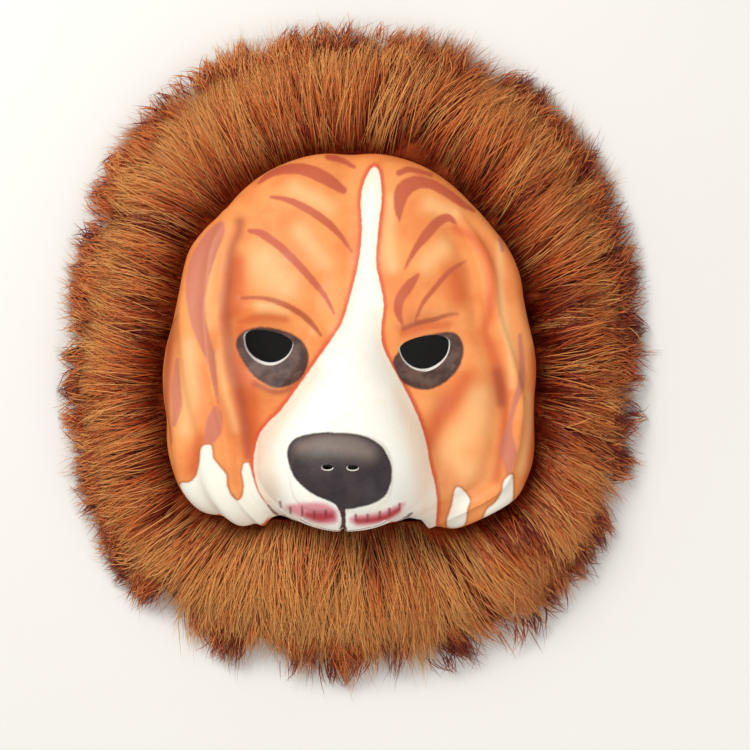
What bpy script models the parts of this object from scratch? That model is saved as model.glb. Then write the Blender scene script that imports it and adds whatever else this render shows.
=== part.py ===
"""Furry dog mask: a moulded foam dog face with hanging ears, sewn into a ring of long-pile fur.

The mask lies face up. Metres: +X is the viewer's right, +Y runs up the face to the forehead and +Z
points out of the face. The origin is at the middle of the fur ring, on the surface that it lies on.
"""
import math

import bmesh
import bpy
import numpy as np

# Face shell in plan. The widest line crosses the face below the eyes.
FACE_WIDTH = 0.1790
CROWN_REACH = 0.1235
JAW_REACH = 0.0555
WIDEST_LINE_Y = -0.0260
CROWN_SQUARENESS = 2.35
JAW_SQUARENESS = 3.5

# Face shell in depth
FOAM_WALL = 0.0025
BRIM_HEIGHT = 0.0200
RIM_TUCK = 0.0020
DOME_DEPTH = 0.0350
DOME_FLATNESS = 2.5

# Muzzle, from the stop between the eyes to the lips
STOP_Y = 0.0190
MUZZLE_LENGTH = 0.0990
MUZZLE_WIDTH = 0.1000
MUZZLE_RISE = 0.0310
MUZZLE_SQUARENESS = 2.3
MUZZLE_BLEND = 0.0080

# Nose pad and the cleft under it
NOSE_Y = -0.0540
NOSE_WIDTH = 0.0440
NOSE_HEIGHT = 0.0330
NOSE_RISE = 0.0032
NOSE_SQUARENESS = 2.6
CLEFT_WIDTH = 0.0024
CLEFT_DEPTH = 0.0018
NOSTRIL_SPACING = 0.0110
NOSTRIL_WIDTH = 0.0046
NOSTRIL_HEIGHT = 0.0022
NOSTRIL_Y = -0.0520

# Eyes
EYE_SPACING = 0.0730
EYE_Y = 0.0040
EYE_SKEW = 0.0010
EYE_HOLE_WIDTH = 0.0218
EYE_HOLE_HEIGHT = 0.0148
EYE_LID_SHARE = 0.30
EYE_TILT = math.radians(9.0)
EYE_FLARE = 0.0014

# Ears, moulded in relief down both sides
EAR_THICKNESS = 0.0045
EAR_ROOT_Y = 0.0760
EAR_ROOT_FADE = 0.0340
EAR_LENGTH = 0.1560
EAR_EDGE_REACH = 0.0640
EAR_EDGE_SOFTNESS = 0.0045
EAR_FOLD = 0.0012
EAR_FOLD_PITCH = 0.0130

# Soft relief of the face
RELIEF_HEIGHT = 0.0045
FURROW_DEPTH = 0.0040
FURROW_WIDTH = 0.0180
RELIEF_LEFT_AT_BRIM = 0.30

# Fur ring
MANE_WIDTH = 0.3000
MANE_LENGTH = 0.3440
MANE_SQUARENESS = 2.3
BACKING_THICKNESS = 0.0020
SEAM_ALLOWANCE = 0.0100
SEAM_GAP = 0.0003
FUR_FACE_GAP = 0.0010
FUR_HEIGHT = 0.0330
LOCKS_AROUND = 32
LOCK_RIDGE = 0.0030
LOCK_UNDERCUT = 0.0015
SHORTEST_LOCK = 0.45

# Elastic head strap, lying slack under the mask
STRAP_Y = 0.0280
STRAP_WIDTH = 0.0120
STRAP_THICKNESS = 0.0012
STRAP_TAB_TOP = 0.20
STRAP_TAB_FOOT = 0.78
STRAP_DROP_RUN = 0.0220
STRAP_DROP_POWER = 1.5
STRAP_SLACK_WAVE = 0.0050
STRAP_WAVES = 3

# How finely the faceted solids are cut
SHELL_SIDES = 76
SHELL_RINGS = 19
BRIM_RINGS = 2
LOCK_STEPS = 5
STRAP_STEPS = 44

RIM_Z = BACKING_THICKNESS + SEAM_GAP
BRIM_Z = RIM_Z + BRIM_HEIGHT
DOME_TOP_Z = BRIM_Z + DOME_DEPTH

# Muzzle sections. along: share of MUZZLE_LENGTH from the stop. half_width: share of half MUZZLE_WIDTH, at
# the rim's level. ridge: share of MUZZLE_RISE above the dome's top.
MUZZLE_SECTIONS = (
    # along, half_width, ridge
    (-0.55, 0.40, -1.80),
    (-0.15, 0.42, -0.14),
    (0.00, 0.48, 0.04),
    (0.12, 0.52, 0.16),
    (0.30, 0.67, 0.45),
    (0.46, 0.84, 0.72),
    (0.59, 0.97, 0.90),
    (0.70, 1.02, 1.00),
    (0.77, 0.99, 1.00),
    (0.82, 0.92, 0.95),
    (0.86, 0.84, 0.88),
    (0.90, 0.74, 0.78),
    (0.94, 0.62, 0.63),
    (0.98, 0.47, 0.40),
    (1.00, 0.36, 0.20),
)
MUZZLE_END = 0.03

# Front edges of the ears. along: share of EAR_LENGTH from the root. left, right: shares of EAR_EDGE_REACH,
# as the viewer sees them.
EAR_EDGES = (
    # along, left, right
    (0.00, 0.98, 0.74),
    (0.09, 0.87, 0.77),
    (0.16, 0.91, 0.87),
    (0.25, 0.94, 0.96),
    (0.37, 0.96, 1.00),
    (0.50, 0.93, 1.10),
    (0.63, 0.87, 1.18),
    (0.72, 0.81, 1.17),
    (0.81, 0.78, 1.13),
    (0.89, 0.75, 1.04),
    (0.95, 0.67, 0.80),
    (1.00, 0.57, 0.55),
)

# Soft forms, the same on both sides: brow, eyelid, socket, lower lid, cheek hollow, lips and chin. rise:
# share of RELIEF_HEIGHT. beside, above: the middle's place from the point between the eyes. width, height:
# how far it spreads. These four are shares of half EYE_SPACING.
SOFT_FORMS = (
    # rise, beside, above, width, height
    (0.90, 0.72, 0.93, 0.60, 0.55),
    (0.55, 1.00, 0.41, 0.55, 0.17),
    (-1.00, 1.00, -0.08, 0.42, 0.34),
    (0.45, 1.00, -0.62, 0.50, 0.16),
    (-0.70, 1.28, -1.10, 0.22, 0.68),
    (0.65, 0.50, -2.00, 0.30, 0.27),
    (0.60, 0.00, -2.28, 0.60, 0.25),
)

# Tiers of fur locks, from the face outwards. tip and scallop: shares of the way from the face's edge to
# the ring's edge. height: share of FUR_HEIGHT. drop: share of the tip's height that it steps down.
FUR_TIERS = (
    # tip, scallop, height, drop
    (0.50, 0.12, 0.88, 0.30),
    (0.76, 0.13, 0.56, 0.36),
    (1.00, 0.16, 0.17, 1.00),
)
LOCK_SEED = 7

# The fur's slope up from the face to its crest. way: share of the way to the ring's edge. height: share of
# FUR_HEIGHT.
FUR_SLOPE = (
    # way, height
    (0.00, 0.06),
    (0.012, 0.52),
    (0.11, 0.89),
)
FUR_CREST = 0.30


def smooth_table(at, table, column):
    """A smooth curve through one column of a table whose first column rises, held level past its ends."""
    rows = np.array(table, float)
    keys, values = rows[:, 0], rows[:, column]
    slopes = np.gradient(values, keys)
    at = np.clip(at, keys[0], keys[-1])
    left = np.clip(np.searchsorted(keys, at) - 1, 0, len(keys) - 2)
    span = keys[left + 1] - keys[left]
    share = (at - keys[left]) / span
    rise = values[left + 1] - values[left]
    bend_in = slopes[left] * span - rise
    bend_out = rise - slopes[left + 1] * span
    return values[left] + share * rise + share * (1 - share) * (bend_in * (1 - share) + bend_out * share)


def eased(share):
    """0 below 0 and 1 above 1, with a smooth rise between."""
    share = np.clip(share, 0, 1)
    return share * share * (3 - 2 * share)


def hump(x, y, centre_x, centre_y, width_x, width_y):
    """A round swelling of height 1, the same on both sides of the face."""
    across = (np.abs(x) - centre_x) / width_x
    along = (y - centre_y) / width_y
    return np.exp(-across * across - along * along)


def smooth_max(first, second, blend):
    overlap = np.clip(blend - np.abs(first - second), 0, None)
    return np.maximum(first, second) + overlap * overlap / (4 * blend)


def face_share(x, y, grown=0.0):
    """0 on the widest line's middle and 1 on the face's outline, which grown moves outwards."""
    rise = y - WIDEST_LINE_Y
    half_width = FACE_WIDTH / 2 - EAR_THICKNESS + grown
    reach = np.where(rise > 0, CROWN_REACH, JAW_REACH) + grown
    power = np.where(rise > 0, CROWN_SQUARENESS, JAW_SQUARENESS)
    return (np.abs(x / half_width) ** power + np.abs(rise / reach) ** power) ** (1 / power)


def dome_height(share):
    inside = np.clip(1 - np.clip(share, 0, 1) ** DOME_FLATNESS, 0, 1)
    return BRIM_Z + DOME_DEPTH * np.sqrt(inside)


def muzzle_height(x, y):
    along = (STOP_Y - y) / MUZZLE_LENGTH
    half_width = smooth_table(along, MUZZLE_SECTIONS, 1) * MUZZLE_WIDTH / 2
    ridge = DOME_TOP_Z + smooth_table(along, MUZZLE_SECTIONS, 2) * MUZZLE_RISE
    side = np.clip(1 - (np.abs(x) / half_width) ** MUZZLE_SQUARENESS, 0, 1)
    past_lips = eased((along - 1) / MUZZLE_END)
    return RIM_Z + (ridge - RIM_Z) * np.sqrt(side) * (1 - past_lips)


def ear_relief(x, y):
    """The ear's thickness, with shallow folds down it, and the crease in front of its edge."""
    along = (EAR_ROOT_Y - y) / EAR_LENGTH
    reach = np.where(x < 0, smooth_table(along, EAR_EDGES, 1), smooth_table(along, EAR_EDGES, 2))
    edge = reach * EAR_EDGE_REACH
    behind_edge = np.abs(x) - edge
    root_fade = eased((EAR_ROOT_Y - y) / EAR_ROOT_FADE)
    flap = eased(behind_edge / EAR_EDGE_SOFTNESS) * root_fade
    folds = EAR_FOLD * np.cos(2 * math.pi * behind_edge / EAR_FOLD_PITCH)
    crease = np.exp(-(((behind_edge + EAR_EDGE_SOFTNESS) / EAR_EDGE_SOFTNESS) ** 2)) * root_fade
    return flap * (EAR_THICKNESS + folds) - EAR_THICKNESS / 3 * crease


def nose_relief(x, y):
    """The nose pad, and the cleft that runs down from it between the lips."""
    beside = np.abs(2 * x / NOSE_WIDTH) ** NOSE_SQUARENESS
    above = np.abs(2 * (y - NOSE_Y) / NOSE_HEIGHT) ** NOSE_SQUARENESS
    pad = NOSE_RISE * np.sqrt(np.clip(1 - beside - above, 0, 1))
    below_nose = eased(4 * (NOSE_Y - y) / NOSE_HEIGHT - 2)
    cleft = CLEFT_DEPTH * np.exp(-((2 * x / CLEFT_WIDTH) ** 2)) * below_nose
    return pad - cleft


def soft_relief(x, y):
    """The soft forms, and the furrow up the middle of the forehead."""
    unit = EYE_SPACING / 2
    across, up = x / unit, (y - EYE_Y) / unit
    height = 0
    for rise, *form in SOFT_FORMS:
        height = height + RELIEF_HEIGHT * rise * hump(across, up, *form)
    up_the_crown = eased((y - EYE_Y) / (CROWN_REACH + WIDEST_LINE_Y - EYE_Y))
    furrow = FURROW_DEPTH * np.exp(-((2 * x / FURROW_WIDTH) ** 2)) * up_the_crown
    return height - furrow


def reach_along(angle, share_of, start_y=0.0):
    """How far the ray at each angle from (0, start_y) runs before share_of(x, y) comes to 1."""
    near, far = np.zeros_like(angle), np.full_like(angle, MANE_WIDTH + MANE_LENGTH)
    for _ in range(40):
        middle = (near + far) / 2
        inside = share_of(middle * np.cos(angle), start_y + middle * np.sin(angle)) < 1
        near, far = np.where(inside, middle, near), np.where(inside, far, middle)
    return near


def smooth_face(angle, way):
    """Points of the face without its relief, on rays from the nose. way: 0 at the nose and 1 at the brim."""
    reach = reach_along(angle, face_share, NOSE_Y) * np.sin(way * math.pi / 2)
    x = reach * np.cos(angle)
    y = NOSE_Y + reach * np.sin(angle)
    z = smooth_max(dome_height(face_share(x, y)), muzzle_height(x, y), MUZZLE_BLEND)
    return np.stack([x, y, z], axis=-1)


def outward(angle, way):
    """Unit normals of the smooth face, by central differences."""
    step = 1e-3
    way = np.clip(way, 2 * step, 1 - step)
    around = smooth_face(angle + step, way) - smooth_face(angle - step, way)
    out = smooth_face(angle, way + step) - smooth_face(angle, way - step)
    normal = np.cross(out, around)
    return normal / np.linalg.norm(normal, axis=-1, keepdims=True)


def even_ways(angle, rings):
    """The way values of each ring at each angle, at equal steps along the surface from nose to brim."""
    samples = np.linspace(0, 1, 200)
    way, spread = np.meshgrid(samples, angle, indexing="ij")
    steps = np.linalg.norm(np.diff(smooth_face(spread, way), axis=0), axis=-1)
    walked = np.concatenate([np.zeros((1, len(angle))), np.cumsum(steps, axis=0)])
    stops = np.linspace(0, 1, rings + 1)
    return np.array([np.interp(stops * path[-1], path, samples) for path in walked.T]).T


def relief(x, y, way):
    """How far the moulded face stands off the smooth one. The soft forms fade towards the brim."""
    fade = 1 - (1 - RELIEF_LEFT_AT_BRIM) * eased(4 * way - 3)
    return ear_relief(x, y) + nose_relief(x, y) + soft_relief(x, y) * fade


def face_walls(sides, rings, brim_rings):
    """Outer and inner wall points as arrays of [ring, side, xyz]. Ring 0 is the single middle point."""
    angle = np.linspace(0, 2 * math.pi, sides, endpoint=False)
    way = even_ways(angle, rings)
    angle = np.broadcast_to(angle, way.shape)
    base = smooth_face(angle, way)
    normal = outward(angle, way)
    normal[0] = normal[0].mean(axis=0) / np.linalg.norm(normal[0].mean(axis=0))
    raised = relief(base[..., 0], base[..., 1], way)
    outer = base + normal * raised[..., None]
    inner = outer - normal * FOAM_WALL
    walls = []
    for wall in (outer, inner):
        brim = [wall[-1]]
        for share in np.linspace(0, 1, brim_rings + 1)[1:]:
            level = wall[-1] - normal[-1] * RIM_TUCK * share
            level[:, 2] = wall[-1][:, 2] + (RIM_Z - wall[-1][:, 2]) * share
            brim.append(level)
        walls.append(np.concatenate([wall[:-1], np.array(brim)]))
    return walls


def new_object(name, points, faces, material):
    mesh = bpy.data.meshes.new(name)
    mesh.from_pydata([tuple(p) for p in points], [], faces)
    body = bmesh.new()
    body.from_mesh(mesh)
    bmesh.ops.recalc_face_normals(body, faces=body.faces)
    bmesh.ops.triangulate(body, faces=body.faces, quad_method="BEAUTY")
    body.to_mesh(mesh)
    body.free()
    mesh.validate()
    made = bpy.data.objects.new(name, mesh)
    bpy.context.scene.collection.objects.link(made)
    if material is not None:
        mesh.materials.append(material)
    return made


def new_material(name, colour, roughness):
    material = bpy.data.materials.new(name)
    material.use_nodes = True
    shader = material.node_tree.nodes["Principled BSDF"]
    shader.inputs["Base Color"].default_value = (*colour, 1.0)
    shader.inputs["Roughness"].default_value = roughness
    shader.inputs["Metallic"].default_value = 0.0
    return material


def cap_and_bands(rows, sides, first, flipped):
    """Faces of one wall: a fan at its middle and bands of quads outwards. Its points start at first."""
    faces = []
    for side in range(sides):
        after = (side + 1) % sides
        faces.append((first, first + 1 + side, first + 1 + after))
        for row in range(rows - 2):
            near, far = first + 1 + row * sides, first + 1 + (row + 1) * sides
            faces.append((near + side, far + side, far + after, near + after))
    return [face[::-1] for face in faces] if flipped else faces


def eye_outline(grown, steps=28):
    """The eye hole about its own middle: a round lower lid under a flatter upper one."""
    turn = np.linspace(0, 2 * math.pi, steps, endpoint=False)
    lower = EYE_HOLE_HEIGHT * (1 - EYE_LID_SHARE) + grown
    upper = EYE_HOLE_HEIGHT * EYE_LID_SHARE
    x = (EYE_HOLE_WIDTH / 2 + grown) * np.cos(turn)
    y = np.where(np.sin(turn) > 0, upper, lower) * np.sin(turn)
    return (
        x * math.cos(EYE_TILT) - y * math.sin(EYE_TILT),
        x * math.sin(EYE_TILT) + y * math.cos(EYE_TILT),
    )


def cutter(name, outlines):
    """A helper solid through a closed outline at each height: [(x, y, z), ...] from low to high."""
    steps = len(outlines[0][0])
    points = [(x, y, z) for xs, ys, z in outlines for x, y in zip(xs, ys)]
    faces = [tuple(range(steps)), tuple(range(len(points) - steps, len(points)))]
    for row in range(len(outlines) - 1):
        for step in range(steps):
            after = (step + 1) % steps
            low, high = row * steps, (row + 1) * steps
            faces.append((low + step, low + after, high + after, high + step))
    helper = new_object(name, points, faces, None)
    helper.hide_render = True
    helper.display_type = "WIRE"
    return helper


def cut(body, helper):
    modifier = body.modifiers.new("cut_" + helper.name, "BOOLEAN")
    modifier.operation = "DIFFERENCE"
    modifier.solver = "EXACT"
    modifier.object = helper


def eye_cutter(name, side):
    """side is +1 or -1. The hole flares towards the viewer, so that the cut foam edge shows."""
    foot_x, foot_y = eye_outline(0.0)
    mouth_x, mouth_y = eye_outline(EYE_FLARE)
    middle_x, middle_y = side * EYE_SPACING / 2, EYE_Y - side * EYE_SKEW
    foot = (middle_x + side * foot_x, middle_y + foot_y)
    mouth = (middle_x + side * mouth_x, middle_y + mouth_y)
    surface = DOME_TOP_Z - RELIEF_HEIGHT
    top = DOME_TOP_Z + MUZZLE_RISE
    return cutter(name, [(*foot, RIM_Z), (*foot, surface - 2 * FOAM_WALL), (*mouth, surface), (*mouth, top)])


def nostril_cutter(name, side, steps=12):
    turn = np.linspace(0, 2 * math.pi, steps, endpoint=False)
    x = side * NOSTRIL_SPACING / 2 + NOSTRIL_WIDTH / 2 * np.cos(turn)
    y = NOSTRIL_Y + NOSTRIL_HEIGHT / 2 * np.sin(turn)
    top = DOME_TOP_Z + MUZZLE_RISE + NOSE_RISE + FOAM_WALL
    return cutter(name, [(x, y, DOME_TOP_Z), (x, y, top)])


def build_face_shell():
    outer, inner = face_walls(SHELL_SIDES, SHELL_RINGS, BRIM_RINGS)
    rows = SHELL_RINGS + BRIM_RINGS + 1
    wall_points = []
    for wall in (outer, inner):
        wall_points.append(wall[0, 0])
        wall_points.extend(wall[1:].reshape(-1, 3))
    per_wall = 1 + (rows - 1) * SHELL_SIDES
    faces = cap_and_bands(rows, SHELL_SIDES, 0, False)
    faces += cap_and_bands(rows, SHELL_SIDES, per_wall, True)
    for side in range(SHELL_SIDES):
        after = (side + 1) % SHELL_SIDES
        outside, inside = per_wall - SHELL_SIDES, 2 * per_wall - SHELL_SIDES
        faces.append((outside + side, inside + side, inside + after, outside + after))
    foam = new_material("painted_foam", (0.85, 0.40, 0.13), 0.55)
    shell = new_object("face_shell", wall_points, faces, foam)
    for side, label in ((-1, "left"), (1, "right")):
        cut(shell, eye_cutter("eye_cutter_" + label, side))
        cut(shell, nostril_cutter("nostril_cutter_" + label, side))
    shell.data.shade_smooth()
    return shell


def mane_share(x, y):
    power = MANE_SQUARENESS
    return (np.abs(2 * x / MANE_WIDTH) ** power + np.abs(2 * y / MANE_LENGTH) ** power) ** (1 / power)


def lock_lengths(tier):
    """The share of its scallop that each lock of a tier reaches. Those on the ring's four axes are full."""
    lengths = np.random.default_rng(LOCK_SEED + tier).uniform(SHORTEST_LOCK, 1.0, LOCKS_AROUND)
    lengths[:: LOCKS_AROUND // 4] = 1.0
    return lengths


def lock_ridges(angle, tier):
    """For each angle: 1 on a lock's middle and 0 between two locks, and which lock it is in."""
    offset = 0.5 if tier % 2 else 0.0
    phase = angle / (2 * math.pi) * LOCKS_AROUND + offset + 0.5
    return 1 - np.abs(2 * (phase % 1) - 1), np.floor(phase).astype(int) % LOCKS_AROUND


def fur_section(angle, face, mane):
    """The fur's upper side as (radius, height) rows, from the face's edge to the ring's edge."""
    way_out = mane - face
    rows = [(face + way * way_out, FUR_HEIGHT * height) for way, height in FUR_SLOPE]
    start, start_height = FUR_CREST, FUR_HEIGHT
    for tier, (tip, scallop, height, drop) in enumerate(FUR_TIERS):
        ridge, lock = lock_ridges(angle, tier)
        reach = tip - scallop * (1 - lock_lengths(tier)[lock] * ridge)
        tip_height = FUR_HEIGHT * height
        crown = LOCK_RIDGE * (ridge - 0.5)
        rows.append((face + (start + reach) / 2 * way_out, (start_height + tip_height) / 2 + crown))
        rows.append((face + reach * way_out, tip_height + crown * height))
        if drop < 1:
            foot_height = tip_height * (1 - drop) - LOCK_RIDGE * drop
            rows.append((face + reach * way_out - LOCK_UNDERCUT, foot_height))
        else:
            rows.append((face + reach * way_out, 0.0))
        start, start_height = tip, tip_height
    return rows


def fur_rows(angle):
    """The fur ring's cross-section as [row, angle, xyz], from the seam band's inner edge round and back."""
    shell = reach_along(angle, face_share)
    ears = np.clip(ear_relief(shell * np.cos(angle), shell * np.sin(angle)), 0, None)
    band = reach_along(angle, lambda x, y: face_share(x, y, -SEAM_ALLOWANCE))
    upper = fur_section(angle, shell + ears + FUR_FACE_GAP, reach_along(angle, mane_share))
    points = []
    for radius, height in [(band, BACKING_THICKNESS), *upper, (band, 0.0)]:
        height = np.broadcast_to(height, angle.shape)
        points.append(np.stack([radius * np.cos(angle), radius * np.sin(angle), height], axis=-1))
    return np.array(points)


def build_fur_mane():
    around = LOCKS_AROUND * LOCK_STEPS
    angle = np.linspace(0, 2 * math.pi, around, endpoint=False)
    rows = fur_rows(angle)
    count = len(rows)
    faces = []
    for row in range(count):
        near, far = row * around, (row + 1) % count * around
        for side in range(around):
            after = (side + 1) % around
            faces.append((near + side, far + side, far + after, near + after))
    fur = new_material("long_pile_fur", (0.36, 0.14, 0.05), 0.9)
    return new_object("fur_mane", rows.reshape(-1, 3), faces, fur)


def inner_reach(level):
    """How far out one level of the shell's inner wall is beside the strap's edges, where it is nearest."""
    edges = (STRAP_Y - STRAP_WIDTH / 2, STRAP_Y + STRAP_WIDTH / 2)
    reaches = []
    for side in (-1, 1):
        half = level[side * level[:, 0] > 0]
        half = half[np.argsort(half[:, 1])]
        reaches.extend(np.interp(edges, half[:, 1], side * half[:, 0]))
    return min(reaches)


def strap_path():
    """Half the strap's middle line in x and z: down the wall at +X, over the seam band, slack to x = 0."""
    inner = face_walls(SHELL_SIDES, SHELL_RINGS, BRIM_RINGS)[1]
    top, foot = inner_reach(inner[-1 - BRIM_RINGS]), inner_reach(inner[-1])
    clear = STRAP_THICKNESS / 2 + SEAM_GAP
    route = []
    for down in np.linspace(STRAP_TAB_TOP, STRAP_TAB_FOOT, 4):
        route.append((top + (foot - top) * down - clear, BRIM_Z - down * BRIM_HEIGHT))
    wall_x, wall_z = route[-1]
    floor_z = STRAP_THICKNESS / 2
    run = SEAM_ALLOWANCE + STRAP_DROP_RUN
    for share in np.linspace(0, 1, 8)[1:]:
        route.append((wall_x - run * share, floor_z + (wall_z - floor_z) * (1 - share) ** STRAP_DROP_POWER))
    for share in np.linspace(0, 1, 4 * STRAP_WAVES + 1)[1:]:
        wave = math.sin(math.pi * STRAP_WAVES * share / 2) ** 2
        route.append(((wall_x - run) * (1 - share), floor_z + STRAP_SLACK_WAVE * wave))
    return np.array(route)


def build_head_strap():
    half = strap_path()
    keys = np.concatenate([half * (-1, 1), half[-2::-1]])
    lengths = np.concatenate([[0], np.cumsum(np.linalg.norm(np.diff(keys, axis=0), axis=1))])
    at = np.linspace(0, lengths[-1], STRAP_STEPS + 1)
    x = np.interp(at, lengths, keys[:, 0])
    z = np.interp(at, lengths, keys[:, 1])
    along = np.stack([np.gradient(x), np.gradient(z)], axis=-1)
    along /= np.linalg.norm(along, axis=1, keepdims=True)
    up = np.stack([-along[:, 1], along[:, 0]], axis=-1) * STRAP_THICKNESS / 2
    points, faces = [], []
    for index in range(STRAP_STEPS + 1):
        for face, edge in ((1, -1), (1, 1), (-1, 1), (-1, -1)):
            height = max(z[index] + face * up[index, 1], 0.0)
            points.append((x[index] + face * up[index, 0], STRAP_Y + edge * STRAP_WIDTH / 2, height))
    for index in range(STRAP_STEPS):
        first = 4 * index
        for corner in range(4):
            after = (corner + 1) % 4
            faces.append((first + corner, first + after, first + 4 + after, first + 4 + corner))
    last = 4 * STRAP_STEPS
    faces += [(0, 1, 2, 3), (last, last + 1, last + 2, last + 3)]
    elastic = new_material("woven_elastic", (0.03, 0.03, 0.03), 0.8)
    return new_object("head_strap", points, faces, elastic)


def main():
    for old in list(bpy.data.objects):
        bpy.data.objects.remove(old)
    build_face_shell()
    build_fur_mane()
    build_head_strap()


main()
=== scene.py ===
"""Looks of the furry dog mask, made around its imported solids.

The mask lies face up. Metres: +X is the viewer's right, +Y runs up the face and +Z points out of it. The
painting is laid out in pixels of the 750 by 750 picture that the camera takes, and it reaches the foam
along the camera's own rays.
"""
import math

import bmesh
import bpy
import numpy as np
from mathutils import Matrix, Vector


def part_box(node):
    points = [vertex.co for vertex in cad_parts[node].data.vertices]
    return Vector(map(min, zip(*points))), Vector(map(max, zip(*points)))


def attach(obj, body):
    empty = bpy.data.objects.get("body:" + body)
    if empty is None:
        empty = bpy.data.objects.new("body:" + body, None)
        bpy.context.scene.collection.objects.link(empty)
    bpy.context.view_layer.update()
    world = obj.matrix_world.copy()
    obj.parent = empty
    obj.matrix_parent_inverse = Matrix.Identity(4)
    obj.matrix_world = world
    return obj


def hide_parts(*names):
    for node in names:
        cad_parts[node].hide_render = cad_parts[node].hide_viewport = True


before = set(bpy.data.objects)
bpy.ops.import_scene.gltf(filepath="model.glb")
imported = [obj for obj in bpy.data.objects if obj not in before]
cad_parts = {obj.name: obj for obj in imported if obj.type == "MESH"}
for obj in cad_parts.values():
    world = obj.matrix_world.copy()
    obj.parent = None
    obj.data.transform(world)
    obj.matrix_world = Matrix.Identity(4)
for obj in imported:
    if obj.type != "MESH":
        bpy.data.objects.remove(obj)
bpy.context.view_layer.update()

# Camera: where the face of these sizes meets the picture
PICTURE_SIDE = 750
FOCAL_LENGTH_PX = 1229.0
SENSOR_WIDTH_MM = 36.0
CAMERA_AIM = (0.0125, -0.0107, 0.0223)
CAMERA_DISTANCE = 0.5956
CAMERA_YAW = math.radians(-1.80)
CAMERA_PITCH = math.radians(-1.34)
CAMERA_ROLL = math.radians(-0.53)

# Face shell, as in the solids
FACE_WIDTH = 0.1790
CROWN_REACH = 0.1235
JAW_REACH = 0.0555
WIDEST_LINE_Y = -0.0260
CROWN_SQUARENESS = 2.35
JAW_SQUARENESS = 3.5
FOAM_WALL = 0.0025
BRIM_HEIGHT = 0.0200
RIM_TUCK = 0.0020
DOME_DEPTH = 0.0350
DOME_FLATNESS = 2.5
STOP_Y = 0.0190
MUZZLE_LENGTH = 0.0990
MUZZLE_WIDTH = 0.1000
MUZZLE_RISE = 0.0310
MUZZLE_SQUARENESS = 2.3
MUZZLE_BLEND = 0.0080
MUZZLE_END = 0.03
NOSE_Y = -0.0540
NOSE_WIDTH = 0.0440
NOSE_HEIGHT = 0.0330
NOSE_RISE = 0.0032
NOSE_SQUARENESS = 2.6
CLEFT_WIDTH = 0.0024
CLEFT_DEPTH = 0.0018
NOSTRIL_SPACING = 0.0110
NOSTRIL_WIDTH = 0.0046
NOSTRIL_HEIGHT = 0.0022
NOSTRIL_Y = -0.0520
EYE_SPACING = 0.0730
EYE_Y = 0.0040
EYE_SKEW = 0.0010
EYE_HOLE_WIDTH = 0.0218
EYE_HOLE_HEIGHT = 0.0148
EYE_LID_SHARE = 0.30
EYE_TILT = math.radians(9.0)
EAR_THICKNESS = 0.0045
EAR_ROOT_Y = 0.0760
EAR_ROOT_FADE = 0.0340
EAR_LENGTH = 0.1560
EAR_EDGE_REACH = 0.0640
EAR_EDGE_SOFTNESS = 0.0045
EAR_FOLD = 0.0012
EAR_FOLD_PITCH = 0.0130
RELIEF_HEIGHT = 0.0045
FURROW_DEPTH = 0.0040
FURROW_WIDTH = 0.0180
RELIEF_LEFT_AT_BRIM = 0.30

# Face shell, finer than the solids
EYE_FLARE = 0.0015
EYE_FLARE_DROP = 0.0008
NOSTRIL_FLARE = 1.35
NOSTRIL_FLARE_DROP = 0.0004
BROW_GROOVE_DEPTH = 0.0007
BROW_GROOVE_PX = 4
LIP_GROOVE_DEPTH = 0.0006
LIP_GROOVE_PX = 3
FOAM_UNEVENNESS = 0.00022
FOAM_UNEVEN_PITCH = 0.021
FOAM_SEED = 3
FOAM_CREASE_ANGLE = math.radians(38)

# Fur ring and strap, as in the solids
MANE_WIDTH = 0.3000
MANE_LENGTH = 0.3440
MANE_SQUARENESS = 2.3
BACKING_THICKNESS = 0.0020
SEAM_ALLOWANCE = 0.0100
SEAM_GAP = 0.0003
FUR_FACE_GAP = 0.0010
FUR_HEIGHT = 0.0330
LOCKS_AROUND = 32
STRAP_Y = 0.0280
STRAP_WIDTH = 0.0120
STRAP_THICKNESS = 0.0012
STRAP_TAB_TOP = 0.20
STRAP_TAB_FOOT = 0.78
STRAP_DROP_RUN = 0.0220
STRAP_DROP_POWER = 1.5
STRAP_SLACK_WAVE = 0.0050
STRAP_WAVES = 3

# Strap, backing and stitches, finer than the solids
STRAP_STEPS = 181
STRAP_SECTION_POINTS = 33
STRAP_RIBS = 8
STRAP_RIB_DEPTH = 0.18
STRAP_EDGE_POWER = 12
STRAP_CREASE_ANGLE = math.radians(60)
RING_SIDES = 384
BACKING_LIFT = 0.0003
BACKING_ROWS = 12
STITCH_COUNT = 132
STITCH_SIDES = 6
STITCH_STEPS = 7
STITCH_LEAN = 0.012
STITCH_LENGTH = 0.006
STITCH_INSIDE_RIM = 0.0045
STITCH_LIFT = 0.0004
STITCH_SAG = 0.0002
THREAD_HALF_WIDTH = 0.00028
THREAD_HALF_HEIGHT = 0.00022

RIM_Z = BACKING_THICKNESS + SEAM_GAP
BRIM_Z = RIM_Z + BRIM_HEIGHT
DOME_TOP_Z = BRIM_Z + DOME_DEPTH

# Fineness of the foam's skin. From each ring outwards it has that many sides.
SKIN_RINGS = 140
SKIN_BANDS = (
    # ring, sides
    (0, 192),
    (10, 384),
    (48, 768),
)
STEEP_SHARE = 0.30
LINING_RINGS = 35
LINING_SIDES = 192
BRIM_RINGS = 3

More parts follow.
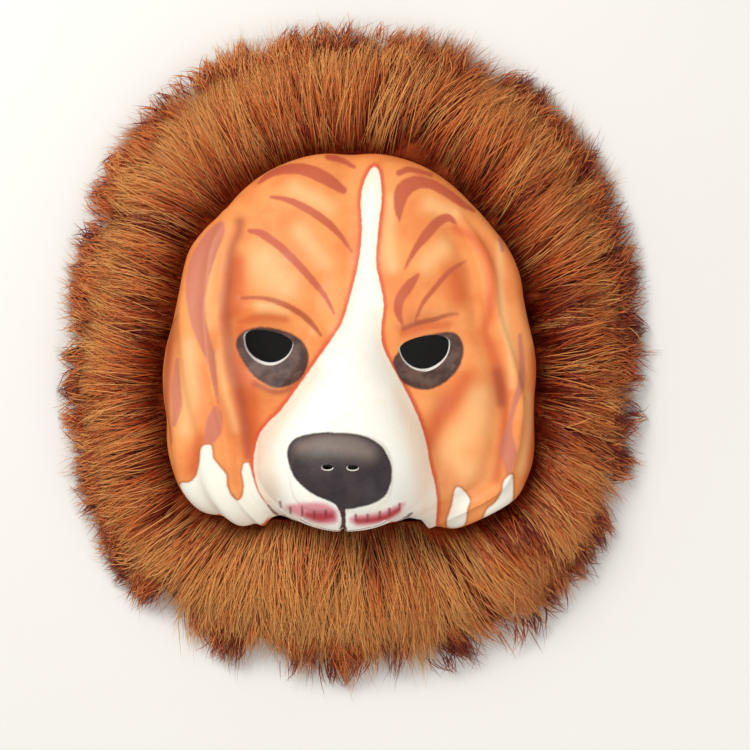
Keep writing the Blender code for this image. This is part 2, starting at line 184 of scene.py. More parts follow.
# Muzzle sections. along: share of MUZZLE_LENGTH from the stop. half_width: share of half MUZZLE_WIDTH, at
# the rim's level. ridge: share of MUZZLE_RISE above the dome's top.
MUZZLE_SECTIONS = (
    # along, half_width, ridge
    (-0.55, 0.40, -1.80),
    (-0.15, 0.42, -0.14),
    (0.00, 0.48, 0.04),
    (0.12, 0.52, 0.16),
    (0.30, 0.67, 0.45),
    (0.46, 0.84, 0.72),
    (0.59, 0.97, 0.90),
    (0.70, 1.02, 1.00),
    (0.77, 0.99, 1.00),
    (0.82, 0.92, 0.95),
    (0.86, 0.84, 0.88),
    (0.90, 0.74, 0.78),
    (0.94, 0.62, 0.63),
    (0.98, 0.47, 0.40),
    (1.00, 0.36, 0.20),
)

# Front edges of the ears. along: share of EAR_LENGTH from the root. left, right: shares of EAR_EDGE_REACH.
EAR_EDGES = (
    # along, left, right
    (0.00, 0.98, 0.74),
    (0.09, 0.87, 0.77),
    (0.16, 0.91, 0.87),
    (0.25, 0.94, 0.96),
    (0.37, 0.96, 1.00),
    (0.50, 0.93, 1.10),
    (0.63, 0.87, 1.18),
    (0.72, 0.81, 1.17),
    (0.81, 0.78, 1.13),
    (0.89, 0.75, 1.04),
    (0.95, 0.67, 0.80),
    (1.00, 0.57, 0.55),
)

# Soft forms, the same on both sides: brow, eyelid, socket, lower lid, cheek hollow, lips and chin. rise:
# share of RELIEF_HEIGHT. The others are shares of half EYE_SPACING, from the point between the eyes.
SOFT_FORMS = (
    # rise, beside, above, width, height
    (0.90, 0.72, 0.93, 0.60, 0.55),
    (0.55, 1.00, 0.41, 0.55, 0.17),
    (-1.00, 1.00, -0.08, 0.42, 0.34),
    (0.45, 1.00, -0.62, 0.50, 0.16),
    (-0.70, 1.28, -1.10, 0.22, 0.68),
    (0.65, 0.50, -2.00, 0.30, 0.27),
    (0.60, 0.00, -2.28, 0.60, 0.25),
)

# The painting's closed outlines, in picture pixels (x, y)
BLAZE = (
    (373, 167), (379, 172), (381.5, 196), (378, 231), (376, 262), (380, 283), (383.5, 305), (381, 332),
    (385, 352), (400, 380), (415, 410), (425, 438), (430, 465), (435, 485), (437, 503), (436, 518),
    (434, 560), (436, 620), (424, 690), (343, 700), (262, 690), (256, 620), (258, 560), (268, 524),
    (268, 507), (258, 488), (253.5, 464), (258, 438), (268, 423), (281, 410), (300, 384),
    (319, 357), (334, 336), (343.5, 319), (352.5, 288), (359, 260), (362, 230), (361, 200), (365, 180),
)
LEFT_PATCH = (
    (236, 343), (240, 356), (250, 372), (262, 382), (276, 388), (291, 385), (302, 377), (308, 364),
    (308, 352), (301, 340), (285, 331), (262, 327), (243, 332),
)
RIGHT_PATCH = (
    (394, 358), (396, 371), (404, 383), (423, 390), (441, 385), (455, 373), (462, 360), (463, 345),
    (455, 333), (438, 333), (412, 340),
)
NOSE_PAD = (
    (287, 452), (295, 438.6), (314.6, 433), (338, 432.5), (361, 435), (378, 443), (388, 456), (392, 471),
    (390, 486), (384, 497), (372, 504), (356, 508), (344, 509), (333, 503), (314.6, 495), (302, 486),
    (292, 473),
)
LEFT_LIP = (
    (286, 506), (303, 503), (322, 503), (333, 508), (337, 516), (335, 523), (320, 523), (303, 518),
    (292, 513),
)
RIGHT_LIP = (
    (350, 518), (361, 515), (380, 512), (396, 506), (405, 503), (399, 513), (384, 521), (366, 525),
    (353, 524),
)
LEFT_EAR_PATCH = (
    (222, 221), (224, 234), (217, 253), (209, 278), (205, 305), (208, 330), (214, 353), (207, 359),
    (194, 333), (187, 306), (186, 280), (191, 257), (205, 234),
)
LEFT_EAR_BLOB = (
    (216.6, 405.7), (222.7, 418), (221, 433), (210.5, 445.5), (204.4, 441), (206, 424), (210.5, 412),
)
LEFT_TIP = (
    (180, 485), (190.6, 482), (197, 474), (200, 460), (202, 447), (211, 446), (213, 458), (220, 467),
    (226, 475), (227, 486), (231, 495), (237, 500.5), (242, 497), (244, 486), (242, 473), (244, 464),
    (249, 464), (253, 478), (259, 494), (267, 505), (270, 516), (252, 529), (230, 526), (208, 518),
    (190, 504),
)
RIGHT_TIP_INNER = ((457, 487), (469, 498), (467, 510), (463, 526), (447, 526), (452, 505))
RIGHT_TIP_OUTER = (
    (504, 481), (512, 475), (513, 492), (511, 508), (502, 518), (484, 525), (486, 511), (496, 502),
    (502, 491),
)

# The painting's brush strokes, in picture pixels: (x, y, half width)
STRIPES = (
    ((328, 157, 3), (341, 160, 3), (354, 167, 2)),
    ((259, 183, 1.5), (272, 173, 4), (288, 169, 5), (306, 170, 6), (325, 178, 6.5), (343, 190, 4)),
    ((271, 197, 1.5), (288, 200, 3), (307, 209, 4), (326, 221.6, 4), (339, 234, 3), (352, 252, 1)),
    ((249, 230.6, 2), (262, 234, 4), (278, 245, 4), (295, 261, 4), (312, 280, 3.5), (325, 296, 2.5),
     (334, 313, 1)),
    ((399, 173, 3), (410, 169.5, 3), (431, 175, 2)),
    ((399.6, 221, 1), (399, 207, 5), (403, 191, 8), (415, 183, 7), (431, 184, 5), (447, 193, 4.5),
     (461, 203, 3.5), (474, 211, 1.5)),
    ((404, 270, 1), (415, 250, 3), (427, 234, 5), (438, 222, 5), (448, 218, 4), (456, 223, 1.5)),
    ((415, 321, 1), (423, 303, 2), (434, 289, 2.5), (450, 271, 2.5), (466, 261, 1)),
    ((418, 275, 2), (409.6, 285, 5), (400, 299, 5), (398, 311, 4), (403, 326, 1)),
)
BROW_CREASES = (
    ((241.6, 298, 1.5), (262, 298, 2), (281, 303, 3), (298, 312, 3), (310.5, 322, 3), (320.7, 335, 1.5)),
    ((403, 329, 2), (418, 323, 2.5), (434, 319.5, 2.5), (447, 315, 2), (458, 314, 1)),
)
EAR_STROKES = (
    ((210, 352, 5), (214, 377, 3), (218, 403, 1)),
    ((177, 360, 2), (176, 389, 5), (177, 405, 5), (174, 425, 2)),
    ((520, 335, 2), (522, 365, 3), (521, 384, 3.5), (516, 399, 3), (512, 414, 2.5), (509, 427, 3),
     (508, 440, 6), (508.5, 453, 8), (508.5, 465, 5), (507.5, 477, 1)),
    ((500, 238, 2), (503, 250, 2)),
)
WHISKER_DABS = (
    ((280, 502, 1.1), (281, 507, 0.8)),
    ((290.3, 508, 1.2), (290.6, 513, 0.9)),
    ((302, 508, 1.3), (302.3, 515, 1.0)),
    ((314, 512, 1.1), (314.3, 518, 1.0)),
    ((326, 511, 1.2), (326, 517, 0.9)),
    ((355.8, 515, 1.1), (356, 520, 0.9)),
    ((367.6, 515, 1.1), (367.4, 521, 1.0)),
    ((379.8, 512, 1.2), (379.6, 518, 1.0)),
    ((389.5, 509, 1.1), (389.3, 515, 0.9)),
    ((399.7, 504, 1.1), (399.3, 510, 0.8)),
)
PHILTRUM = (((340, 502, 5), (342.5, 511, 3), (343.5, 519, 2.2), (343.5, 526, 2.4), (343.5, 531, 4)),)
# The mouth's line along the lips' lower edge; its dark paint is also painted shade under the lip
LIP_LINE = (
    ((268, 505, 1), (275, 513, 1.5), (290, 523, 1.8), (308, 531, 1.8), (326, 535, 2), (343, 537, 2.4),
     (362, 535, 2), (384, 530, 1.8), (400, 522, 1.8), (412, 513, 1.2)),
)

# Airbrushing and painted light and shade, in picture pixels: soft strokes (x, y, half width) of mild
# painted shade, deep painted shade, painted highlight, painted shade on the white's warm flanks, the lips'
# deepest red and a painted highlight on the nose's top. The shade and highlight strokes are partly the
# airbrush's own burnt and light orange.
SHADE_STROKES = (
    ((240, 330, 6), (243, 365, 7), (250, 395, 9), (252, 425, 9), (250, 450, 6)),
    ((330, 345, 6), (312, 380, 7), (285, 412, 7), (262, 440, 6)),
    ((466, 378, 7), (452, 400, 9), (438, 420, 9), (430, 442, 6)),
    ((455, 272, 8), (460, 296, 8)),
    ((455, 228, 4), (476, 240, 5), (489, 262, 5), (492, 285, 5), (489, 312, 5), (484, 332, 5)),
    ((484, 332, 5), (492, 352, 6), (500, 380, 7), (505, 410, 5), (503, 440, 4), (497, 480, 4)),
    ((202, 440, 6), (195, 468, 7)),
    ((238, 262, 7), (238, 290, 9), (236, 312, 7)),
    ((240, 322, 4), (262, 317, 4), (285, 319, 4)),
    ((404, 332, 4), (425, 327, 4), (447, 325, 4)),
    ((536, 350, 4), (537, 420, 5), (528, 480, 5)),
)
DEEP_SHADE_STROKES = (
    ((240, 222, 5), (238, 234, 4), (232, 248, 4), (229, 267, 5), (228, 285, 5.5), (226, 305, 6),
     (227, 330, 6), (229, 352, 6), (233, 372, 6), (239, 392, 6), (243, 410, 5), (246, 430, 5),
     (248, 456, 4)),
    ((497, 372, 4), (500, 388, 5), (501, 403, 4)),
    ((172, 318, 4), (169, 350, 4), (166, 400, 4), (168, 440, 3)),
    ((301, 384, 3), (278, 392, 3), (255, 384, 3)),
)
HIGHLIGHT_STROKES = (
    ((262, 262, 15), (285, 282, 12)),
    ((296, 190, 8), (328, 206, 8)),
    ((300, 232, 8), (325, 262, 8)),
    ((392, 200, 5), (389, 240, 6), (392, 266, 6)),
    ((430, 205, 7), (454, 213, 6)),
    ((425, 264, 8), (442, 248, 8)),
    ((262, 309, 6), (284, 314, 5)),
    ((478, 398, 12), (471, 425, 14), (452, 448, 13), (466, 470, 10)),
    ((216, 245, 4), (210, 290, 5), (211, 325, 5)),
    ((216, 355, 4), (225, 395, 4), (235, 428, 5)),
    ((187, 345, 6), (189, 395, 8), (186, 430, 6)),
    ((499, 245, 3), (500, 290, 4), (506, 330, 4), (511, 352, 4), (511, 385, 4)),
    ((529, 395, 3), (530, 430, 4), (523, 470, 5)),
)
FLANK_SHADE_STROKES = (
    ((318, 372, 6), (294, 402, 7), (272, 432, 8), (266, 462, 8), (272, 492, 8)),
    ((396, 392, 5), (410, 425, 7), (419, 460, 8), (425, 492, 8), (424, 508, 7)),
)
RED_STROKES = (
    ((308, 515, 3), (320, 517, 5), (331, 516, 4)),
    ((358, 521, 3), (372, 520, 3), (386, 517, 3), (397, 511, 2.5)),
)
NOSE_HIGHLIGHT_STROKES = (
    ((302, 447, 6), (325, 443, 9), (352, 446, 10), (368, 452, 7)),
)

# From this many pixels on, distances from an outline or a stroke are held level
FAR_PX = 24.0

# Fur. way: share of the way from the face's edge to the ring's edge. height: share of FUR_HEIGHT.
FUR_PROFILE = (
    # way, height
    (0.00, 0.74),
    (0.04, 0.84),
    (0.14, 0.95),
    (0.30, 1.00),
    (0.50, 0.88),
    (0.76, 0.55),
    (0.92, 0.24),
    (1.00, 0.07),
)
FUR_LAYERS = (
    # name, strands, root_from, root_to, shortest, longest, root_depth, tip_rise, tone
    ("fur_ground_pile", 5200, 0.00, 0.80, 0.018, 0.034, 0.62, 0.90, -0.22),
    ("fur_inner_pile", 7800, 0.00, 0.36, 0.032, 0.056, 0.70, 1.00, 0.00),
    ("fur_outer_pile", 7800, 0.20, 0.80, 0.034, 0.056, 0.62, 1.00, 0.02),
    ("fur_guard_hair", 7000, 0.00, 0.74, 0.044, 0.078, 0.72, 1.10, 0.20),
    ("fur_skirt_pile", 5000, 0.48, 0.74, 0.034, 0.054, 0.12, 0.50, 0.16),
)
FUR_SEED = 11
FUR_POINTS = 5
LOCK_COUNT = 900
LOCK_ROOT_SPREAD = 0.0034
LOCK_TIP_SPREAD = 0.0011
LOOSE_SHARE = 0.32
WISP_REACH = 0.008
STRAND_RADIUS = 0.00023
FUR_EDGE_SCALLOP = 0.12
LOOSE_ANGLE = 0.03
LOOSE_TIP_TIMES = 3.0
WISP_SHARE = 0.10
START_SPREAD = 0.045
LEAN_SPREAD = 0.05
REACH_SPREAD = 0.12
RISE_SPREAD = 0.10
SHORTEST_RUN = 0.012
LOCK_TONE_SPREAD = 0.26
STRAND_TONE_SPREAD = 0.10
FUR_LOWEST = 0.0012
STRAND_WAVE = 0.0008
DROOP_FROM = 0.60
DROOP_RUN = 0.30
DROOP_SHARE = 0.72
EDGE_WAVES = (
    # waves around the ring, phase
    (11, 0.4),
    (19, 2.1),
    (LOCKS_AROUND, 1.1),
)
FLOW_WAVES = (
    # lean in radians, waves around the ring, phase, change of phase along the way
    (0.16, 3, 0.6, 0),
    (0.12, 7, 2.0, 3),
    (0.10, 13, 1.1, 5),
)
# The angle of the pile's lighter side: partly its dye, partly painted light from the key light's side
PAINTED_LIGHT_SIDE_ANGLE = 2.5
UNDERLAYER_ROWS = 22
UNDERLAYER_HEIGHT = 0.66
UNDERLAYER_EDGE = 0.66
UNDERLAYER_FALL = 0.15
UNDERLAYER_UNEVENNESS = 0.0012
UNDERLAYER_PITCH = 0.011
UNDERLAYER_SEED = 5
UNDERLAYER_LEAST = 0.0006
UNDERLAYER_LIFT = 0.0002
BACKING_EDGE = 0.72

# Studio: where each light stands, its width, its power and its colour
KEY_LIGHT = ((-0.55, 0.60, 1.05), 0.75, 11.5, (1.0, 0.97, 0.93))
FILL_LIGHT = ((0.65, -0.75, 0.90), 1.1, 5.0, (1.0, 0.98, 0.96))
SKY_COLOUR = (1.0, 0.99, 0.97, 1.0)
SKY_STRENGTH = 0.46
FLOOR_REACH = 3.0
FLOOR_DROP = 0.0002


def colour(red, green, blue):
    """Linear colour from the 0 to 255 values of a screen."""
    values = np.array([red, green, blue]) / 255
    linear = np.where(values <= 0.04045, values / 12.92, ((values + 0.055) / 1.055) ** 2.4)
    return (*linear.tolist(), 1.0)


def camera_axes():
    """The camera's X, Y and Z axes as the rows of a matrix, and its place."""
    cy, sy = math.cos(CAMERA_YAW), math.sin(CAMERA_YAW)
    cp, sp = math.cos(CAMERA_PITCH), math.sin(CAMERA_PITCH)
    cr, sr = math.cos(CAMERA_ROLL), math.sin(CAMERA_ROLL)
    yaw = np.array([[cy, 0, sy], [0, 1, 0], [-sy, 0, cy]])
    pitch = np.array([[1, 0, 0], [0, cp, -sp], [0, sp, cp]])
    roll = np.array([[cr, -sr, 0], [sr, cr, 0], [0, 0, 1]])
    axes = roll @ pitch @ yaw
    return axes, np.array(CAMERA_AIM) + axes[2] * CAMERA_DISTANCE


def to_picture(points):
    """Where points [..., xyz] show in the picture, as [..., (x, y)] in pixels from its upper left."""
    axes, place = camera_axes()
    seen = (points - place) @ axes.T
    scale = FOCAL_LENGTH_PX / -seen[..., 2]
    half = PICTURE_SIDE / 2
    return np.stack([half + seen[..., 0] * scale, half - seen[..., 1] * scale], axis=-1)


def smooth_table(at, table, column):
    """A smooth curve through one column of a table whose first column rises, held level past its ends."""
    rows = np.array(table, float)
    keys, values = rows[:, 0], rows[:, column]
    slopes = np.gradient(values, keys)
    at = np.clip(at, keys[0], keys[-1])
    left = np.clip(np.searchsorted(keys, at) - 1, 0, len(keys) - 2)
    span = keys[left + 1] - keys[left]
    share = (at - keys[left]) / span
    rise = values[left + 1] - values[left]
    bend_in = slopes[left] * span - rise
    bend_out = rise - slopes[left + 1] * span
    return values[left] + share * rise + share * (1 - share) * (bend_in * (1 - share) + bend_out * share)


def eased(share):
    share = np.clip(share, 0, 1)
    return share * share * (3 - 2 * share)


def hump(x, y, centre_x, centre_y, width_x, width_y):
    across = (np.abs(x) - centre_x) / width_x
    along = (y - centre_y) / width_y
    return np.exp(-across * across - along * along)


def smooth_max(first, second, blend):
    overlap = np.clip(blend - np.abs(first - second), 0, None)
    return np.maximum(first, second) + overlap * overlap / (4 * blend)


def face_share(x, y, grown=0.0):
    """0 on the widest line's middle and 1 on the face's outline, which grown moves outwards."""
    rise = y - WIDEST_LINE_Y
    half_width = FACE_WIDTH / 2 - EAR_THICKNESS + grown
    reach = np.where(rise > 0, CROWN_REACH, JAW_REACH) + grown
    power = np.where(rise > 0, CROWN_SQUARENESS, JAW_SQUARENESS)
    return (np.abs(x / half_width) ** power + np.abs(rise / reach) ** power) ** (1 / power)


def dome_height(share):
    inside = np.clip(1 - np.clip(share, 0, 1) ** DOME_FLATNESS, 0, 1)
    return BRIM_Z + DOME_DEPTH * np.sqrt(inside)


def muzzle_height(x, y):
    along = (STOP_Y - y) / MUZZLE_LENGTH
    half_width = smooth_table(along, MUZZLE_SECTIONS, 1) * MUZZLE_WIDTH / 2
    ridge = DOME_TOP_Z + smooth_table(along, MUZZLE_SECTIONS, 2) * MUZZLE_RISE
    side = np.clip(1 - (np.abs(x) / half_width) ** MUZZLE_SQUARENESS, 0, 1)
    past_lips = eased((along - 1) / MUZZLE_END)
    return RIM_Z + (ridge - RIM_Z) * np.sqrt(side) * (1 - past_lips)


def ear_relief(x, y):
    """The ear's thickness, with shallow folds down it, and the crease in front of its edge."""
    along = (EAR_ROOT_Y - y) / EAR_LENGTH
    reach = np.where(x < 0, smooth_table(along, EAR_EDGES, 1), smooth_table(along, EAR_EDGES, 2))
    edge = reach * EAR_EDGE_REACH
    behind_edge = np.abs(x) - edge
    root_fade = eased((EAR_ROOT_Y - y) / EAR_ROOT_FADE)
    flap = eased(behind_edge / EAR_EDGE_SOFTNESS) * root_fade
    folds = EAR_FOLD * np.cos(2 * math.pi * behind_edge / EAR_FOLD_PITCH)
    crease = np.exp(-(((behind_edge + EAR_EDGE_SOFTNESS) / EAR_EDGE_SOFTNESS) ** 2)) * root_fade
    return flap * (EAR_THICKNESS + folds) - EAR_THICKNESS / 3 * crease


def nose_relief(x, y):
    """The nose pad, and the cleft that runs down from it between the lips."""
    beside = np.abs(2 * x / NOSE_WIDTH) ** NOSE_SQUARENESS
    above = np.abs(2 * (y - NOSE_Y) / NOSE_HEIGHT) ** NOSE_SQUARENESS
    pad = NOSE_RISE * np.sqrt(np.clip(1 - beside - above, 0, 1))
    below_nose = eased(4 * (NOSE_Y - y) / NOSE_HEIGHT - 2)
    cleft = CLEFT_DEPTH * np.exp(-((2 * x / CLEFT_WIDTH) ** 2)) * below_nose
    return pad - cleft


def soft_relief(x, y):
    """The soft forms, and the furrow up the middle of the forehead."""
    unit = EYE_SPACING / 2
    across, up = x / unit, (y - EYE_Y) / unit
    height = 0
    for rise, *form in SOFT_FORMS:
        height = height + RELIEF_HEIGHT * rise * hump(across, up, *form)
    up_the_crown = eased((y - EYE_Y) / (CROWN_REACH + WIDEST_LINE_Y - EYE_Y))
    furrow = FURROW_DEPTH * np.exp(-((2 * x / FURROW_WIDTH) ** 2)) * up_the_crown
    return height - furrow


def reach_along(angle, share_of, start_y=0.0):
    """How far the ray at each angle from (0, start_y) runs before share_of(x, y) comes to 1."""
    near, far = np.zeros_like(angle), np.full_like(angle, MANE_WIDTH + MANE_LENGTH)
    for _ in range(32):
        middle = (near + far) / 2
        inside = share_of(middle * np.cos(angle), start_y + middle * np.sin(angle)) < 1
        near, far = np.where(inside, middle, near), np.where(inside, far, middle)
    return near


def smooth_face(angle, way):
    """Points of the face without its relief, on rays from the nose. way: 0 at the nose and 1 at the brim."""
    reach = reach_along(angle, face_share, NOSE_Y) * np.sin(way * math.pi / 2)
    x = reach * np.cos(angle)
    y = NOSE_Y + reach * np.sin(angle)
    z = smooth_max(dome_height(face_share(x, y)), muzzle_height(x, y), MUZZLE_BLEND)
    return np.stack([x, y, z], axis=-1)


def outward(angle, way):
    """Unit normals of the smooth face, by central differences."""
    step = 1e-3
    way = np.clip(way, 2 * step, 1 - step)
    around = smooth_face(angle + step, way) - smooth_face(angle - step, way)
    out = smooth_face(angle, way + step) - smooth_face(angle, way - step)
    normal = np.cross(out, around)
    return normal / np.linalg.norm(normal, axis=-1, keepdims=True)


def even_ways(angle, rings):
    """The way values of each ring at each angle, at equal steps along the surface from nose to brim."""
    samples = np.linspace(0, 1, 160)
    way, spread = np.meshgrid(samples, angle, indexing="ij")
    steps = np.linalg.norm(np.diff(smooth_face(spread, way), axis=0), axis=-1)
    walked = np.concatenate([np.zeros((1, len(angle))), np.cumsum(steps, axis=0)])
    stops = np.linspace(0, 1, rings + 1)
    return np.array([np.interp(stops * path[-1], path, samples) for path in walked.T]).T


def relief(x, y, way):
    """How far the moulded face stands off the smooth one. The soft forms fade towards the brim."""
    fade = 1 - (1 - RELIEF_LEFT_AT_BRIM) * eased(4 * way - 3)
    return ear_relief(x, y) + nose_relief(x, y) + soft_relief(x, y) * fade


def curve_through(points, closed, steps=5):
    """Points of a smooth curve through rows of numbers (Catmull-Rom)."""
    rows = np.array(points, float)
    if closed:
        rows = np.concatenate([rows[-1:], rows, rows[:2]])
    else:
        rows = np.concatenate([2 * rows[:1] - rows[1:2], rows, 2 * rows[-1:] - rows[-2:-1]])
    share = np.linspace(0, 1, steps, endpoint=False)[:, None]
    spans = []
    for before, start, end, after in zip(rows, rows[1:], rows[2:], rows[3:]):
        cubic = (3 * (start - end) + after - before) * share**3
        square = (2 * before - 5 * start + 4 * end - after) * share**2
        spans.append(start + ((end - before) * share + square + cubic) / 2)
    made = np.concatenate(spans)
    return made if closed else np.concatenate([made, rows[-2:-1]])


def along_segment(spots, start, end):
    """Share of the way along a segment nearest to each spot, and the distance there."""
    run = end[:2] - start[:2]
    share = np.clip((spots - start[:2]) @ run / max(run @ run, 1e-9), 0, 1)
    return share, np.linalg.norm(spots - start[:2] - share[:, None] * run, axis=1)


def near_spots(spots, line):
    low, high = line[:, :2].min(axis=0) - FAR_PX, line[:, :2].max(axis=0) + FAR_PX
    return np.flatnonzero(((spots > low) & (spots < high)).all(axis=1))


def outline_distance(spots, outline):
    """Signed distance in pixels from a closed outline, negative inside it."""
    line = curve_through(outline, True)
    picked = near_spots(spots, line)
    near = spots[picked]
    distance, crossings = np.full(len(near), FAR_PX), np.zeros(len(near), int)
    for start, end in zip(line, np.roll(line, -1, axis=0)):
        distance = np.minimum(distance, along_segment(near, start, end)[1])
        spans = (start[1] > near[:, 1]) != (end[1] > near[:, 1])
        rise = end[1] - start[1] if end[1] != start[1] else 1e-9
        meets = start[0] + (near[:, 1] - start[1]) / rise * (end[0] - start[0])
        crossings += spans & (near[:, 0] < meets)
    made = np.full(len(spots), FAR_PX)
    made[picked] = np.where(crossings % 2 == 1, -distance, distance)
    return made


def stroke_distance(spots, stroke):
    """Distance in pixels from the edge of a brush stroke of changing width, negative on it."""
    line = curve_through(stroke, False)
    picked = near_spots(spots, line)
    near = spots[picked]
    distance = np.full(len(near), FAR_PX)
    for start, end in zip(line, line[1:]):
        share, away = along_segment(near, start, end)
        distance = np.minimum(distance, away - (start[2] + share * (end[2] - start[2])))
    made = np.full(len(spots), FAR_PX)
    made[picked] = distance
    return made


def nearest(spots, outlines=(), strokes=()):
    fields = [outline_distance(spots, outline) for outline in outlines]
    fields += [stroke_distance(spots, stroke) for stroke in strokes]
    return np.min(fields, axis=0)


def soft_strokes(spots, strokes):
    """Airbrushed strokes: 1 on the middle line, fading over the stroke's width."""
    total = np.zeros(len(spots))
    for stroke in strokes:
        width = np.mean([row[2] for row in stroke])
        away = np.clip(stroke_distance(spots, stroke) + width, 0, None)
        total = np.maximum(total, np.exp(-((away / (1.3 * width)) ** 2)))
    return total


def ripple(points, pitch, seed):
    """Smooth noise from -1 to 1 over points [..., xyz], from a few waves of about the given pitch."""
    rng = np.random.default_rng(seed)
    total = np.zeros(points.shape[:-1])
    for _ in range(7):
        direction = rng.normal(size=3)
        direction *= 2 * math.pi / (pitch * rng.uniform(0.7, 1.5) * np.linalg.norm(direction))
        total += np.sin(points @ direction + rng.uniform(0, 2 * math.pi))
    return total / 7


def new_mesh_object(name, points, faces, materials, smooth=True):
    mesh = bpy.data.meshes.new(name)
    mesh.from_pydata(np.asarray(points).tolist(), [], faces)
    made = bpy.data.objects.new(name, mesh)
    bpy.context.scene.collection.objects.link(made)
    for material in materials:
        mesh.materials.append(material)
    if smooth:
        mesh.shade_smooth()
    return made


def face_outwards(made):
    body = bmesh.new()
    body.from_mesh(made.data)
    bmesh.ops.recalc_face_normals(body, faces=body.faces)
    body.to_mesh(made.data)
    body.free()


def write_attribute(made, name, values):
    attribute = made.data.attributes.new(name, "FLOAT", "POINT")
    attribute.data.foreach_set("value", np.asarray(values, np.float32))


def read_points(mesh):
    points = np.zeros(len(mesh.vertices) * 3, np.float32)
    mesh.vertices.foreach_get("co", points)
    return points.reshape(-1, 3).astype(float)


class Shader:
    """A material's node tree, with short calls for the nodes that the finishes share."""

    def __init__(self, name):
        self.material = bpy.data.materials.new(name)
        self.material.use_nodes = True
        self.tree = self.material.node_tree
        self.surface = self.tree.nodes["Principled BSDF"]
        self.place = self.node("ShaderNodeTexCoord").outputs["Object"]

    def node(self, kind, **settings):
        made = self.tree.nodes.new(kind)
        for key, value in settings.items():
            setattr(made, key, value)
        return made

    def put(self, socket, value):
        if isinstance(value, bpy.types.NodeSocket):
            self.tree.links.new(value, socket)
        else:
            socket.default_value = value

    def across_and_up(self):
        """The object's own x and y."""
        split = self.node("ShaderNodeSeparateXYZ")
        self.put(split.inputs[0], self.place)
        return split.outputs["X"], split.outputs["Y"]

    def attribute(self, name):
        return self.node("ShaderNodeAttribute", attribute_name=name).outputs["Fac"]

    def maths(self, operation, first, second=0.0, clamp=False):
        made = self.node("ShaderNodeMath", operation=operation, use_clamp=clamp)
        self.put(made.inputs[0], first)
        self.put(made.inputs[1], second)
        return made.outputs[0]

    def noise(self, scale, detail=3.0, roughness=0.55, place=None):
        made = self.node("ShaderNodeTexNoise")
        self.put(made.inputs["Vector"], place or self.place)
        made.inputs["Scale"].default_value = scale
        made.inputs["Detail"].default_value = detail
        made.inputs["Roughness"].default_value = roughness
        return made.outputs["Fac"]

    def cells(self, scale):
        made = self.node("ShaderNodeTexVoronoi")
        self.put(made.inputs["Vector"], self.place)
        made.inputs["Scale"].default_value = scale
        return made.outputs["Distance"]

    def spread(self, value, low, high, to_low=0.0, to_high=1.0):
        """value from low to high as to_low to to_high, with soft ends."""
        made = self.node("ShaderNodeMapRange", interpolation_type="SMOOTHSTEP")
        self.put(made.inputs["Value"], value)
        ends = {"From Min": low, "From Max": high, "To Min": to_low, "To Max": to_high}
        for socket, number in ends.items():
            made.inputs[socket].default_value = number
        return made.outputs["Result"]

    def over(self, under, top, share):
        """top laid over under, where share is 1."""
        made = self.node("ShaderNodeMix", data_type="RGBA")
        self.put(made.inputs["Factor"], share)
        self.put(made.inputs["A"], under)
        self.put(made.inputs["B"], top)
        return made.outputs["Result"]

    def times(self, first, second, share=1.0):
        made = self.node("ShaderNodeMix", data_type="RGBA", blend_type="MULTIPLY")
        self.put(made.inputs["Factor"], share)
        self.put(made.inputs["A"], first)
        self.put(made.inputs["B"], second)
        return made.outputs["Result"]

    def ramp(self, value, stops):
        made = self.node("ShaderNodeValToRGB")
        self.put(made.inputs["Fac"], value)
        band = made.color_ramp
        while len(band.elements) < len(stops):
            band.elements.new(0.5)
        for element, (place, shade) in zip(band.elements, stops):
            element.position = place
            element.color = shade
        return made.outputs["Color"]

    def bump(self, height, distance, strength=1.0, under=None):
        made = self.node("ShaderNodeBump")
        made.inputs["Strength"].default_value = strength
        made.inputs["Distance"].default_value = distance
        self.put(made.inputs["Height"], height)
        if under is not None:
            self.put(made.inputs["Normal"], under)
        return made.outputs["Normal"]

    def finish(self, base, roughness, normal=None, **numbers):
        self.put(self.surface.inputs["Base Color"], base)
        self.put(self.surface.inputs["Roughness"], roughness)
        if normal is not None:
            self.put(self.surface.inputs["Normal"], normal)
        for key, value in numbers.items():
            self.surface.inputs[key.replace("_", " ")].default_value = value
        return self.material


